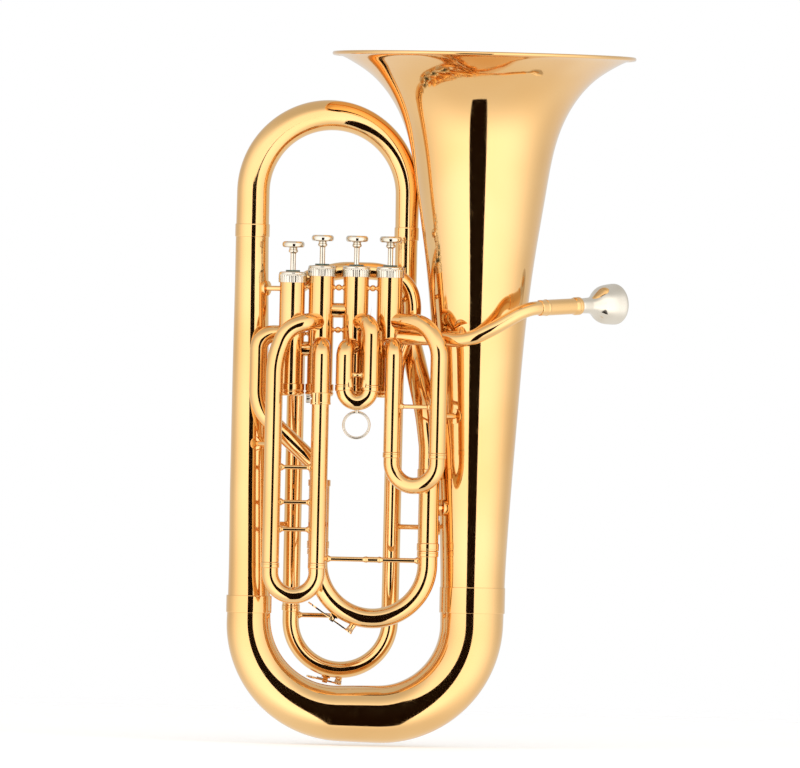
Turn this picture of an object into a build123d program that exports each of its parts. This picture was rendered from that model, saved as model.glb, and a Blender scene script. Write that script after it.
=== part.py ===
from build123d import *
import math
import os

# A B flat euphonium with four in-line piston valves, bell upright.
# Millimetres. +Z runs up along the bell, +X from the valve side of the horn to the bell
# side, -Y towards the front, where the valve slides are. The origin lies on the plane
# that the bottom bow stands on, below the middle of the bow.

os.makedirs("parts", exist_ok=True)

# ---------------------------------------------------------------- driving dimensions
# Big bore: bell, bows and branches
bell_x = 109.5  # bell axis
rim_z = 637.0  # top of the bell's rim
rim_radius = 140.0
bell_foot_z = 145.0  # seam between bell and bottom bow
bell_foot_radius = 29.6
sheet = 0.8  # wall of the bell and the bows
bead_radius = 1.9  # rolled wire in the bell's rim

branch_x = -96.0  # left leg of the bottom bow
branch_foot_z = 126.0
bow_floor_z = 27.0  # centre line of the bow's bottom
bow_bend = 85.0

top_bow_foot_z = 470.0
top_bow_spring_z = 506.0  # where the top bow's half circle begins
top_bow_left = Vector(-100.5, 0, 0)
top_bow_right = Vector(41.5, 22, 0)

# Valves
valve_y = -22.0
valve_x = [27.1, -3.9, -35.5, -62.3]
cap_top_z = [439.0, 439.0, 439.0, 432.6]
casing_radius = 11.75
casing_wall = 1.25
casing_foot_z = 320.5
cap_radius = 13.0
cap_floor = 2.0
cap_skirt = 9.5
top_cap_height = 10.0
top_cap_plate = 3.0
piston_clearance = 0.04
piston_foot_z = 339.5
spring_seat_z = 351.5
stem_radius = 2.5
button_radius = 10.25
button_rise = 28.0  # top of the button above the top cap

# Small bore: valve slides, tuning slide and mouthpipe
slide_outer = 8.0  # outside radius of a slide's outer leg
slide_wall = 0.8
slide_fit = 0.05  # radial play of an inner leg
bow_radius = 7.6  # outside radius of a crook
slide_front_y = -46.0
shoulder_gap = 0.3  # between a crook's shoulder and the outer leg at rest

tuning_outer = 9.5
tuning_bow_radius = 9.1
tuning_left = Vector(-33.5, valve_y, 0)
tuning_right = Vector(67.5, valve_y, 0)
tuning_joint_z = 178.6
tuning_crook_z = 166.0
tuning_top_z = 244.0

main_branch_radius = 10.3
exit_radius = 8.1
leadpipe_radius = 6.35


def at(spot, height):
    """The point above a plan position at a height."""
    return Vector(spot.X, spot.Y, height)


def valve_at(number, height):
    """A point on the axis of a valve, counted from 1."""
    return Vector(valve_x[number - 1], valve_y, height)


def finish(made, name):
    """Label a piece and write it."""
    made.part.label = name
    export_step(made.part, "parts/" + name + ".step")


def pipe_route(points, bends):
    """Straight runs joined by tangent bends."""
    with BuildLine() as route:
        FilletPolyline(*points, radius=bends)
    return route.line


def u_route(left, right, joint_z, crook_z, lean=0.0):
    """Down one leg, round a half circle and up the other. Lean is how far the crook
    swings to the back for each millimetre that it hangs down."""
    down = Vector(0, lean, -1).normalized()
    span = right - left
    crook = left + down * ((joint_z - crook_z) / -down.Z)
    middle = crook + span * 0.5 + down * (span.length / 2)
    with BuildLine() as route:
        Line(left, crook)
        ThreePointArc(crook, middle, crook + span)
        Line(crook + span, right)
    return route.line


def ring_on(route, share, outer, inner):
    """A ring face square to a route."""
    with BuildSketch(Plane(origin=route @ share, z_dir=route % share)) as ring:
        Circle(outer)
        Circle(inner, mode=Mode.SUBTRACT)
    return ring.sketch


def clear_of_casings(numbers):
    """Cut the open part back to the outside of the named casings."""
    for number in numbers:
        with Locations(valve_at(number, 380)):
            Cylinder(casing_radius, 180, mode=Mode.SUBTRACT)


def tube(points, bends, outer, wall, casings=()):
    """A tube of one bore, cut to meet valve casings."""
    route = pipe_route(points, bends)
    ring = ring_on(route, 0, outer, outer - wall)
    with BuildPart() as made:
        sweep(ring, path=route)
        clear_of_casings(casings)
    return made


def tapered(route, side, stations, wall):
    """A tube whose radius grows along a flat route. Stations are pairs of a share of
    the route's length and an outside radius; side is the normal of the route's plane."""
    with BuildPart() as made:
        for share, radius in stations:
            with BuildSketch(Plane(origin=route @ share, x_dir=side, z_dir=route % share)):
                Circle(radius)
        sweep(path=route, multisection=True)
        for share, radius in stations:
            with BuildSketch(Plane(origin=route @ share, x_dir=side, z_dir=route % share)):
                Circle(radius - wall)
        sweep(path=route, multisection=True, mode=Mode.SUBTRACT)
    return made


# ---------------------------------------------------------------- bell
# Outside radius of the bell against depth below the rim, where the flare turns.
bell_outline = [
    (bell_foot_radius, rim_z - bell_foot_z),
    (33.2, 410.0),
    (38.2, 328.0),
    (43.4, 253.0),
    (50.2, 190.0),
    (59.6, 126.0),
    (72.0, 68.0),
    (88.9, 36.7),
    (105.0, 20.0),
    (121.4, 9.3),
    (rim_radius - bead_radius, 2.6),
]
with BuildPart() as rim_bead:
    with BuildSketch(Plane.XZ.shift_origin((bell_x, 0, 0))):
        with Locations((rim_radius - bead_radius, rim_z - bead_radius)):
            Circle(bead_radius)
        with Locations((rim_radius - bead_radius, rim_z)):
            Rectangle(2 * bead_radius, 0.5, mode=Mode.SUBTRACT)
    revolve(axis=Axis((bell_x, 0, 0), (0, 0, 1)))
finish(rim_bead, "bell_rim_bead")

with BuildPart() as bell:
    with BuildSketch(Plane.XZ.shift_origin((bell_x, 0, 0))):
        with BuildLine():
            outline = [(radius, rim_z - depth) for radius, depth in bell_outline]
            outside = Spline(*outline, tangents=[(0.02, 1), (1, 0.12)])
            inside_points = []
            for step in range(25):
                run = outside % (step / 24)
                inside_points.append(outside @ (step / 24) + Vector(-run.Y, run.X) * sheet)
            inside = Spline(*inside_points, tangents=[outside % 0, outside % 1])
            Line(outside @ 0, inside @ 0)
            Line(outside @ 1, inside @ 1)
        make_face()
    revolve(axis=Axis((bell_x, 0, 0), (0, 0, 1)))
    add(rim_bead.part, mode=Mode.SUBTRACT)
finish(bell, "bell")

# ---------------------------------------------------------------- bottom bow
bow_points = [
    (bell_x, 0, bell_foot_z),
    (bell_x, 0, bow_floor_z),
    (branch_x, 0, bow_floor_z),
    (branch_x, 0, branch_foot_z),
]
bow_route = pipe_route(bow_points, [bow_bend, bow_bend])
bow_stations = [
    (0.0, bell_foot_radius),
    (0.22, 28.3),
    (0.40, 27.0),
    (0.55, 25.9),
    (0.72, 23.6),
    (0.86, 21.4),
    (1.0, 19.7),
]
bottom_bow = tapered(bow_route, (0, 1, 0), bow_stations, sheet)
finish(bottom_bow, "bottom_bow")

bell_ferrule_foot_z = 122.0
with BuildPart() as bell_ferrule:
    with BuildSketch(Plane.XY.offset(bell_ferrule_foot_z)):
        with Locations((bell_x, 0)):
            Circle(bell_foot_radius + 0.7)
            Circle(bell_foot_radius - 1.2, mode=Mode.SUBTRACT)
    extrude(amount=bell_foot_z + 1 - bell_ferrule_foot_z)
    outside_edges = bell_ferrule.edges().filter_by(
        lambda e: e.geom_type == GeomType.CIRCLE and e.radius > bell_foot_radius
    )
    chamfer(outside_edges, length=0.3)
    add(bell.part, mode=Mode.SUBTRACT)
    add(bottom_bow.part, mode=Mode.SUBTRACT)
finish(bell_ferrule, "bell_ferrule")

# ---------------------------------------------------------------- left branch
# Height, centre and outside radius: the outer side runs straight up.
branch_stations = [
    (branch_foot_z, branch_x, 19.7),
    (branch_foot_z + 12, branch_x - 0.2, 19.3),
    (230, -98.0, 18.0),
    (330, -99.2, 16.8),
    (top_bow_foot_z - 12, -100.5, 15.25),
    (top_bow_foot_z, -100.5, 15.2),
]


with BuildPart() as left_branch:
    for thinner, mode in ((0, Mode.ADD), (sheet, Mode.SUBTRACT)):
        for height, centre, radius in branch_stations:
            with BuildSketch(Plane.XY.offset(height)):
                with Locations((centre, 0)):
                    Circle(radius - thinner)
        loft(mode=mode)
finish(left_branch, "left_branch")

with BuildPart() as branch_ferrule:
    with BuildSketch(Plane.XY.offset(branch_foot_z - 8)):
        with Locations((branch_x, 0)):
            Circle(20.9)
    extrude(amount=16)
    chamfer(branch_ferrule.edges().filter_by(GeomType.CIRCLE), length=0.4)
    add(left_branch.part, mode=Mode.SUBTRACT)
    add(bottom_bow.part, mode=Mode.SUBTRACT)
    with BuildSketch(Plane.XY.offset(branch_foot_z - 20)):
        with Locations((branch_x, 0)):
            Circle(19.2)
    extrude(amount=40, mode=Mode.SUBTRACT)
finish(branch_ferrule, "branch_ferrule")

# ---------------------------------------------------------------- top bow
top_span = top_bow_right - top_bow_left
top_side = Vector(-top_span.Y, top_span.X, 0).normalized()
top_reach = top_span.length / 2
with BuildLine() as top_route:
    Line(at(top_bow_left, top_bow_foot_z), at(top_bow_left, top_bow_spring_z))
    ThreePointArc(
        at(top_bow_left, top_bow_spring_z),
        at(top_bow_left + top_span * 0.5, top_bow_spring_z + top_reach),
        at(top_bow_right, top_bow_spring_z),
    )
    Line(at(top_bow_right, top_bow_spring_z), at(top_bow_right, top_bow_foot_z))
top_stations = [
    (0.0, 15.2),
    (0.3, 14.7),
    (0.5, 13.9),
    (0.7, 12.2),
    (0.85, 11.1),
    (1.0, 10.6),
]
top_bow = tapered(top_route.line, top_side, top_stations, sheet)
finish(top_bow, "top_bow")

# ---------------------------------------------------------------- main branch
main_points = [
    at(top_bow_right, top_bow_foot_z),
    at(top_bow_right, 386),
    (50.0, 20.5, 360),
    (63.5, -19.0, 304),
    at(tuning_right, 274),
    at(tuning_right, tuning_top_z),
]
main_branch = tube(main_points, [60, 55, 55, 60], main_branch_radius, sheet)
finish(main_branch, "main_branch")

with BuildPart() as top_bow_ferrules:
    for spot, snug in ((top_bow_left, 15.2), (top_bow_right, 10.6)):
        with BuildSketch(Plane.XY.offset(top_bow_foot_z - 6)):
            with Locations((spot.X, spot.Y)):
                Circle(snug + 0.7)
        extrude(amount=12)
    chamfer(top_bow_ferrules.edges().filter_by(GeomType.CIRCLE), length=0.35)
    for spot, snug in ((top_bow_left, 14.9), (top_bow_right, 10.1)):
        with BuildSketch(Plane.XY.offset(top_bow_foot_z - 10)):
            with Locations((spot.X, spot.Y)):
                Circle(snug)
        extrude(amount=20, mode=Mode.SUBTRACT)
    add(top_bow.part, mode=Mode.SUBTRACT)
    add(left_branch.part, mode=Mode.SUBTRACT)
    add(main_branch.part, mode=Mode.SUBTRACT)
finish(top_bow_ferrules, "top_bow_ferrules")

# ---------------------------------------------------------------- valve casings and caps
bore = slide_outer - slide_wall
knuckle = 362.0  # height of the straight-through ports
# Port tubes: where each runs to in plan, at what height, and its bore.
ports = {
    1: [((60, -48), 388.5, bore), ((32.4, -46), 366.5, bore), ((78, -40.2), 374.0, 5.5), ((-50, -22), knuckle, 6.0)],
    2: [((11.3, -46), 388, bore), ((-12.7, -46), 365, bore), ((50, -22), knuckle, 6.0), ((-50, -22), 398, 6.0)],
    3: [((-48, -46), 387, bore), ((-34.1, -46), 365.5, bore), ((0, -22), 398, 6.0), ((-90, -22), knuckle, 6.0)],
    4: [((-92, -27), 375, 7.3), ((-62.3, 4), 396, bore), ((-57.5, 4), knuckle, bore), ((0, -22), knuckle, 6.0)],
}


def valve_casing(number):
    """A casing with a hole for each port."""
    foot = valve_at(number, casing_foot_z)
    height = cap_top_z[number - 1] - top_cap_plate - casing_foot_z
    with BuildPart() as made:
        with BuildSketch(Plane(origin=foot)):
            Circle(casing_radius)
            Circle(casing_radius - casing_wall, mode=Mode.SUBTRACT)
        extrude(amount=height)
        for target, level, hole in ports[number]:
            centre = valve_at(number, level)
            outwards = Vector(target[0] - centre.X, target[1] - centre.Y, 0)
            with BuildSketch(Plane(origin=centre, z_dir=outwards)):
                Circle(min(hole, 6.6))
            extrude(amount=casing_radius + 4, mode=Mode.SUBTRACT)
    return made


for number in (1, 2, 3, 4):
    finish(valve_casing(number), f"valve_casing_{number}")

with BuildPart() as bottom_caps:
    for number in (1, 2, 3, 4):
        foot = valve_at(number, casing_foot_z - cap_floor)
        with BuildSketch(Plane(origin=foot)):
            Circle(cap_radius)
        extrude(amount=cap_floor + cap_skirt)
    fillet(bottom_caps.edges().group_by(Axis.Z)[0], radius=1.2)
    fillet(bottom_caps.edges().group_by(Axis.Z)[-1], radius=0.4)
    for number in (1, 2, 3, 4):
        with BuildSketch(Plane(origin=valve_at(number, casing_foot_z))):
            Circle(casing_radius)
        extrude(amount=cap_skirt + 1, mode=Mode.SUBTRACT)
        with BuildSketch(Plane(origin=valve_at(number, casing_foot_z - 3))):
            Circle(2)
        extrude(amount=4, mode=Mode.SUBTRACT)
finish(bottom_caps, "bottom_caps")


def top_cap(number):
    """A screw cap with a coin edge and a hole for the stem."""
    crown = valve_at(number, cap_top_z[number - 1])
    with BuildPart() as made:
        with BuildSketch(Plane(origin=crown - Vector(0, 0, top_cap_height))):
            Circle(cap_radius)
            with PolarLocations(cap_radius + 0.35, 36):
                Circle(0.7, mode=Mode.SUBTRACT)
        extrude(amount=top_cap_height - 2)
        with BuildSketch(Plane(origin=crown - Vector(0, 0, 2))):
            Circle(cap_radius - 0.4)
        extrude(amount=2)
        fillet(made.edges().group_by(Axis.Z)[-1], radius=1.0)
        with BuildSketch(Plane(origin=crown - Vector(0, 0, top_cap_height))):
            Circle(casing_radius)
        extrude(amount=top_cap_height - top_cap_plate, mode=Mode.SUBTRACT)
        with BuildSketch(Plane(origin=crown - Vector(0, 0, 5))):
            Circle(stem_radius + 0.3)
        extrude(amount=6, mode=Mode.SUBTRACT)
    return made


with BuildPart() as top_caps:
    for number in (1, 2, 3, 4):
        add(top_cap(number).part)
finish(top_caps, "top_caps")

with BuildPart() as cap_felts:
    for number in (1, 2, 3, 4):
        with BuildSketch(Plane(origin=valve_at(number, cap_top_z[number - 1]))):
            Circle(6.6)
            Circle(stem_radius + 0.4, mode=Mode.SUBTRACT)
        extrude(amount=1.6)
finish(cap_felts, "cap_felts")

# ---------------------------------------------------------------- pistons, stems and springs
piston_radius = casing_radius - casing_wall - piston_clearance
piston_top = 7.0  # below the top of the cap
passages = [(362.5, 0), (378.5, 118), (396.0, 62)]  # height and direction of each passage


def piston(number):
    """A hollow piston: a thin wall, two plates and three passages right through."""
    crown = cap_top_z[number - 1] - piston_top
    shift = 0 if number < 4 else -1.5
    with BuildPart() as made:
        with BuildSketch(Plane(origin=valve_at(number, piston_foot_z))):
            Circle(piston_radius)
            Circle(piston_radius - 0.9, mode=Mode.SUBTRACT)
        extrude(amount=crown - piston_foot_z)
        for level, vent in ((spring_seat_z, 1.5), (crown - 1.6, stem_radius)):
            with BuildSketch(Plane(origin=valve_at(number, level))):
                Circle(piston_radius - 0.5)
                Circle(vent, mode=Mode.SUBTRACT)
            extrude(amount=1.6)
        for level, turn in passages:
            across = Vector(1, 0, 0).rotate(Axis.Z, turn)
            with BuildSketch(Plane(origin=valve_at(number, level + shift), z_dir=across)):
                Circle(6.5)
            extrude(amount=piston_radius + 1, both=True)
        with Locations(valve_at(number, (crown + piston_foot_z) / 2)):
            Cylinder(piston_radius, crown - piston_foot_z, mode=Mode.INTERSECT)
        for level, turn in passages:
            across = Vector(1, 0, 0).rotate(Axis.Z, turn)
            with BuildSketch(Plane(origin=valve_at(number, level + shift), z_dir=across)):
                Circle(5.8)
            extrude(amount=piston_radius + 2, both=True, mode=Mode.SUBTRACT)
        with BuildSketch(Plane(origin=valve_at(number, crown - 3))):
            with PolarLocations(6.2, 4, start_angle=45):
                Circle(0.8)
        extrude(amount=4, mode=Mode.SUBTRACT)
    return made


def valve_button(number):
    """A stem with its finger button."""
    cap = cap_top_z[number - 1]
    with BuildPart() as made:
        with BuildSketch(Plane(origin=valve_at(number, cap - piston_top - 1.6))):
            Circle(stem_radius)
        extrude(amount=piston_top + 1.6 + 19)
        with BuildSketch(Plane(origin=valve_at(number, cap + 18))):
            Circle(4.4)
        extrude(amount=5)
        with BuildSketch(Plane(origin=valve_at(number, cap + 22.4))):
            Circle(button_radius)
        extrude(amount=button_rise - 22.4)
        disc_edges = made.edges().filter_by(lambda e: e.geom_type == GeomType.CIRCLE and e.radius > 10)
        fillet(disc_edges, radius=1.9)
        with BuildSketch(Plane(origin=valve_at(number, cap + button_rise - 0.5))):
            Circle(7.2)
        extrude(amount=1, mode=Mode.SUBTRACT)
    return made


def valve_spring(number):
    """A coil spring between the bottom cap and the piston's seat."""
    coils = 6
    wire = 0.6
    low = casing_foot_z + wire + 0.1
    length = spring_seat_z - wire - 0.1 - low
    with BuildPart() as made:
        with BuildLine(Plane(origin=valve_at(number, low))) as coil:
            Helix(pitch=length / coils, height=length, radius=8.3)
        with BuildSketch(Plane(origin=coil.line @ 0, z_dir=coil.line % 0)):
            Circle(wire)
        sweep(path=coil.line, is_frenet=True)
    return made


for number in (1, 2, 3, 4):
    finish(piston(number), f"piston_{number}")
    finish(valve_button(number), f"valve_button_{number}")
    finish(valve_spring(number), f"valve_spring_{number}")

# ---------------------------------------------------------------- tubes between the valves
gaps = [(1, 2, knuckle), (2, 3, 398.0), (3, 4, knuckle)]
with BuildPart() as valve_links:
    for near, far, level in gaps:
        start = valve_at(near, level)
        width = valve_x[near - 1] - valve_x[far - 1]
        with BuildSketch(Plane(origin=start, z_dir=(-1, 0, 0))):
            Circle(6.9)
            Circle(6.0, mode=Mode.SUBTRACT)
        extrude(amount=width)
    clear_of_casings((1, 2, 3, 4))
finish(valve_links, "valve_links")

with BuildPart() as valve_stays:
    for near, far, _ in gaps:
        middle_x = (valve_x[near - 1] + valve_x[far - 1]) / 2
        reach = (valve_x[near - 1] - valve_x[far - 1]) / 2
        for level in (419.0, 376.0 if near == 3 else 380.0):
            spot = Vector(middle_x, valve_y, level)
            with BuildSketch(Plane(origin=spot, x_dir=(1, 0, 0), z_dir=(0, -1, 0))):
                Rectangle(2 * reach, 3.2)
                if near < 3:  # there is no room for a ball between the last two
                    Circle(3.0)
                Rectangle(2 * reach, 8, align=(Align.CENTER, Align.MAX), mode=Mode.SUBTRACT)
            revolve(axis=Axis(spot, (1, 0, 0)))
    clear_of_casings((1, 2, 3, 4))
finish(valve_stays, "valve_stays")

# ---------------------------------------------------------------- mouthpipe and receiver
pipe_corner = Vector(154, -54, 403.4)
blow_way = Vector(46, 38.6, 3.6).normalized()
pipe_end = pipe_corner + blow_way * 22
leadpipe_points = [
    valve_at(1, 374.0),
    (78, -40.2, 374.0),
    (99, -55, 371.5),
    (124, -57, 385),
    pipe_corner,
    pipe_end,
]
leadpipe = tube(leadpipe_points, [45, 40, 60, 30], leadpipe_radius, slide_wall, casings=(1,))
finish(leadpipe, "leadpipe")

receiver_length = 40.0
receiver_plane = Plane(origin=pipe_end, z_dir=blow_way)
with BuildPart() as mouthpiece_receiver:
    with BuildSketch(Plane(origin=pipe_end, x_dir=receiver_plane.x_dir, z_dir=receiver_plane.y_dir)):
        with BuildLine():
            # distance along the axis is the sketch's -Y
            Polyline(
                (leadpipe_radius, 8),
                (7.3, 6),
                (7.3, -receiver_length + 6),
                (8.3, -receiver_length + 5),
                (8.3, -receiver_length),
                (6.2, -receiver_length),
                (5.4, -0.2),
                (leadpipe_radius, -0.2),
                close=True,
            )
        make_face()
    revolve(axis=Axis(pipe_end, blow_way))
finish(mouthpiece_receiver, "mouthpiece_receiver")

# ---------------------------------------------------------------- mouthpiece
rim_out = 46.0  # from the receiver's mouth to the rim
with BuildPart() as mouthpiece:
    with BuildSketch(Plane(origin=pipe_end, x_dir=receiver_plane.x_dir, z_dir=receiver_plane.y_dir)):
        mouth = receiver_length
        with BuildLine():
            shank = Polyline(
                (3.4, -mouth + 30),
                (5.53, -mouth + 30),
                (6.13, -mouth + 0.2),
                (6.9, -mouth - 3),
                (7.3, -mouth - 12),
            )
            body = Spline(
                shank @ 1,
                (10.5, -mouth - 19),
                (16.6, -mouth - 27),
                (18.6, -mouth - 37),
                (18.9, -mouth - rim_out + 4),
                tangents=[(0.2, -1), (0, -1)],
            )
            rim = ThreePointArc(body @ 1, (16.4, -mouth - rim_out), (13.6, -mouth - rim_out + 3))
            cup = Spline(
                rim @ 1,
                (12.6, -mouth - 30),
                (7.5, -mouth - 20),
                (3.4, -mouth - 13),
                tangents=[(-0.1, 1), (-0.3, 1)],
            )
            Line(cup @ 1, shank @ 0)
        make_face()
    revolve(axis=Axis(pipe_end, blow_way))
finish(mouthpiece, "mouthpiece")

# ---------------------------------------------------------------- valve 4 exit tube
exit_points = [
    valve_at(4, 375),
    (-92, -27, 375),
    (-92, -27, 306),
    (-35.5, valve_y, 254),
    at(tuning_left, 236),
]
exit_tube = tube(exit_points, [14, 40, 16], exit_radius, slide_wall, casings=(4,))
exit_foot_z = 236.0
finish(exit_tube, "valve_exit_tube")

# ---------------------------------------------------------------- outer legs of the tuning slide
with BuildPart() as tuning_outer_legs:
    for spot, top in ((tuning_left, exit_foot_z), (tuning_right, tuning_top_z)):
        with BuildSketch(Plane(origin=at(spot, tuning_joint_z))):
            Circle(tuning_outer)
            Circle(tuning_outer - slide_wall, mode=Mode.SUBTRACT)
        extrude(amount=top - tuning_joint_z)
        with BuildSketch(Plane(origin=at(spot, tuning_joint_z))):
            Circle(tuning_outer + 0.7)
            Circle(tuning_outer - 0.2, mode=Mode.SUBTRACT)
        extrude(amount=7)
finish(tuning_outer_legs, "tuning_outer_legs")

with BuildPart() as tuning_ferrules:
    with BuildSketch(Plane(origin=at(tuning_left, exit_foot_z))):
        Circle(tuning_outer + 0.8)
        Circle(exit_radius, mode=Mode.SUBTRACT)
    extrude(amount=6)
    with BuildSketch(Plane(origin=at(tuning_right, tuning_top_z))):
        Circle(main_branch_radius + 0.8)
        Circle(main_branch_radius, mode=Mode.SUBTRACT)
    extrude(amount=10)
    add(exit_tube.part, mode=Mode.SUBTRACT)
finish(tuning_ferrules, "tuning_ferrules")


# ---------------------------------------------------------------- slides
def crook(left, right, joint_z, crook_z, leg_top, bow, outer, lean=0.0):
    """A slide's crook with its two inner legs, which run up inside the outer legs."""
    down = Vector(0, lean, -1).normalized()
    start = left + down * shoulder_gap
    end = right + down * shoulder_gap
    route = u_route(start, end, joint_z - shoulder_gap, crook_z, lean)
    inner = outer - slide_wall - slide_fit
    hollow = inner - 0.7
    ring = ring_on(route, 0, bow, hollow)
    with BuildPart() as made:
        sweep(ring, path=route)
        for spot in (start, end):
            with BuildSketch(Plane(origin=spot, z_dir=-down)):
                Circle(inner)
                Circle(hollow, mode=Mode.SUBTRACT)
            extrude(amount=leg_top)
            with BuildSketch(Plane(origin=spot, z_dir=down)):
                Circle(outer + 0.4)
                Circle(hollow + 0.2, mode=Mode.SUBTRACT)
            extrude(amount=5)
    return made


def cross_bar(left, right, radius, knob, leg, legs_run=Vector(0, 0, 1)):
    """A round bar between two legs, with a knob against each leg."""
    span = right - left
    with BuildPart() as made:
        with BuildSketch(Plane(origin=left + span * 0.5, z_dir=span)):
            Circle(radius)
        extrude(amount=span.length / 2, both=True)
        for share in (leg / span.length, 1 - leg / span.length):
            with BuildSketch(Plane(origin=left + span * share, z_dir=span)):
                Circle(knob)
            extrude(amount=2.0, both=True)
        for spot in (left, right):
            with BuildSketch(Plane(origin=spot - legs_run * 20, z_dir=legs_run)):
                Circle(leg)
            extrude(amount=40, mode=Mode.SUBTRACT)
    return made


first_left = Vector(32.4, slide_front_y, 269.0)
first_right = Vector(74.1, -57.0, 269.0)
second_left = Vector(-12.7, slide_front_y, 330.0)
second_right = Vector(11.3, slide_front_y, 330.0)
third_left = Vector(-76.9, slide_front_y - 1, 165.6)
third_right = Vector(-34.1, slide_front_y - 1, 165.6)
fourth_lean = 0.1165
fourth_joint_z = 126.0
fourth_y = 4 + (knuckle - fourth_joint_z) * fourth_lean
fourth_left = Vector(-57.5, fourth_y, fourth_joint_z)
fourth_right = Vector(34.0, fourth_y, fourth_joint_z)

first_upper = tube(
    [valve_at(1, 388.5), (60, -48, 388.5), (74.1, -57, 367), first_right],
    [28, 34],
    slide_outer,
    slide_wall,
    casings=(1,),
)
first_lower = tube(
    [valve_at(1, 366.5), at(first_left, 366.5), first_left], [10.5], slide_outer, slide_wall, casings=(1,)
)
with BuildPart() as first_slide_outer:
    add(first_upper.part)
    add(first_lower.part)
finish(first_slide_outer, "first_slide_outer")

second_upper = tube(
    [valve_at(2, 388), at(second_right, 388), second_right], [14], slide_outer, slide_wall, casings=(2,)
)
second_lower = tube(
    [valve_at(2, 365), at(second_left, 365), second_left], [10.5], slide_outer, slide_wall, casings=(2,)
)
with BuildPart() as second_slide_outer:
    add(second_upper.part)
    add(second_lower.part)
finish(second_slide_outer, "second_slide_outer")

third_upper = tube(
    [valve_at(3, 387), (-48, -46, 387), (-67, -47, 380), at(third_left, 352), third_left],
    [10, 26, 80],
    slide_outer,
    slide_wall,
    casings=(3,),
)
third_lower = tube(
    [valve_at(3, 365.5), at(third_right, 365.5), third_right], [10.5], slide_outer, slide_wall, casings=(3,)
)
with BuildPart() as third_slide_outer:
    add(third_upper.part)
    add(third_lower.part)
finish(third_slide_outer, "third_slide_outer")

fourth_lower = tube(
    [valve_at(4, knuckle), (-57.5, 4, knuckle), fourth_left], [10], slide_outer, slide_wall, casings=(4,)
)
fourth_upper = tube(
    [
        valve_at(4, 396),
        (-62.3, 0.5, 396),
        (-62.3, 0.5, 414),
        (-50, 0.5, 427),
        (-18, 0, 435),
        (20, 0, 435),
        (44, 0, 425),
        (50.5, 0, 398),
        (34, 4 + (knuckle - 350) * fourth_lean, 350),
        fourth_right,
    ],
    [9.2, 16, 40, 60, 60, 26, 50, 60],
    slide_outer,
    slide_wall,
    casings=(4,),
)
with BuildPart() as fourth_slide_outer:
    add(fourth_upper.part)
    add(fourth_lower.part)
finish(fourth_slide_outer, "fourth_slide_outer")

tuning_crook = crook(
    at(tuning_left, tuning_joint_z),
    at(tuning_right, tuning_joint_z),
    tuning_joint_z,
    tuning_crook_z,
    50,
    tuning_bow_radius,
    tuning_outer,
)
finish(tuning_crook, "tuning_crook")
finish(crook(first_left, first_right, 269.0, 260.0, 62, bow_radius, slide_outer), "first_crook")
finish(crook(second_left, second_right, 330.0, 326.0, 18, bow_radius, slide_outer), "second_crook")
finish(crook(third_left, third_right, 165.6, 156.5, 110, bow_radius, slide_outer), "third_crook")
fourth_crook = crook(
    fourth_left, fourth_right, fourth_joint_z, 112.0, 80, bow_radius, slide_outer, fourth_lean
)
finish(fourth_crook, "fourth_crook")

# ---------------------------------------------------------------- cross braces of the slides
with BuildPart() as slide_stays:
    for left, right, level in (
        (first_left, first_right, 311.0),
        (third_left, third_right, 253.0),
        (third_left, third_right, 221.0),
        (third_left, third_right, 196.0),
    ):
        add(cross_bar(at(left, level), at(right, level), 2.0, 3.4, slide_outer).part)
    add(cross_bar(at(second_left, 339), at(second_right, 339), 1.8, 2.8, slide_outer).part)
finish(slide_stays, "slide_stays")

tuning_brace = cross_bar(at(tuning_left, 169.5), at(tuning_right, 169.5), 2.2, 3.4, tuning_bow_radius)
finish(tuning_brace, "tuning_brace")

fourth_down = Vector(0, fourth_lean, -1).normalized()
fourth_drop = fourth_down * 9.5
fourth_brace = cross_bar(
    fourth_left + fourth_drop, fourth_right + fourth_drop, 2.2, 3.4, bow_radius, fourth_down
)
finish(fourth_brace, "fourth_brace")

# ---------------------------------------------------------------- pull ring
ring_spot = (second_left + second_right) * 0.5
with BuildPart() as pull_ring:
    with Locations(Plane(origin=at(ring_spot, 293.0), z_dir=(0, -1, 0))):
        Torus(11.9, 1.2)
    with BuildSketch(Plane(origin=at(ring_spot, 304.0))):
        Circle(2.0)
    extrude(amount=5)
    with Locations(Plane(origin=at(ring_spot, 326.0), z_dir=(0, -1, 0))):
        Torus((second_right - second_left).length / 2, bow_radius, mode=Mode.SUBTRACT)
finish(pull_ring, "pull_ring")

# ---------------------------------------------------------------- braces of the body
with BuildPart() as bell_core:
    with BuildSketch(Plane.XZ.shift_origin((bell_x, 0, 0))):
        with BuildLine():
            core_side = Spline(*outline, tangents=[(0.02, 1), (1, 0.12)])
            Polyline(core_side @ 1, (0, (core_side @ 1).Y), (0, bell_foot_z), core_side @ 0)
        make_face()
    revolve(axis=Axis((bell_x, 0, 0), (0, 0, 1)))

with BuildPart() as branch_core:
    for height, centre, radius in branch_stations:
        with BuildSketch(Plane.XY.offset(height)):
            with Locations((centre, 0)):
                Circle(radius)
    loft()


def post(start, end, radius, pad=0.0, pad_from=0.0):
    """A round post, with a pad round its far end."""
    way = end - start
    with BuildPart() as made:
        with BuildSketch(Plane(origin=start, z_dir=way)):
            Circle(radius)
        extrude(amount=way.length)
        if pad > 0:
            with BuildSketch(Plane(origin=start + way.normalized() * pad_from, z_dir=way)):
                Circle(pad)
            extrude(amount=way.length - pad_from)
    return made


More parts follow.
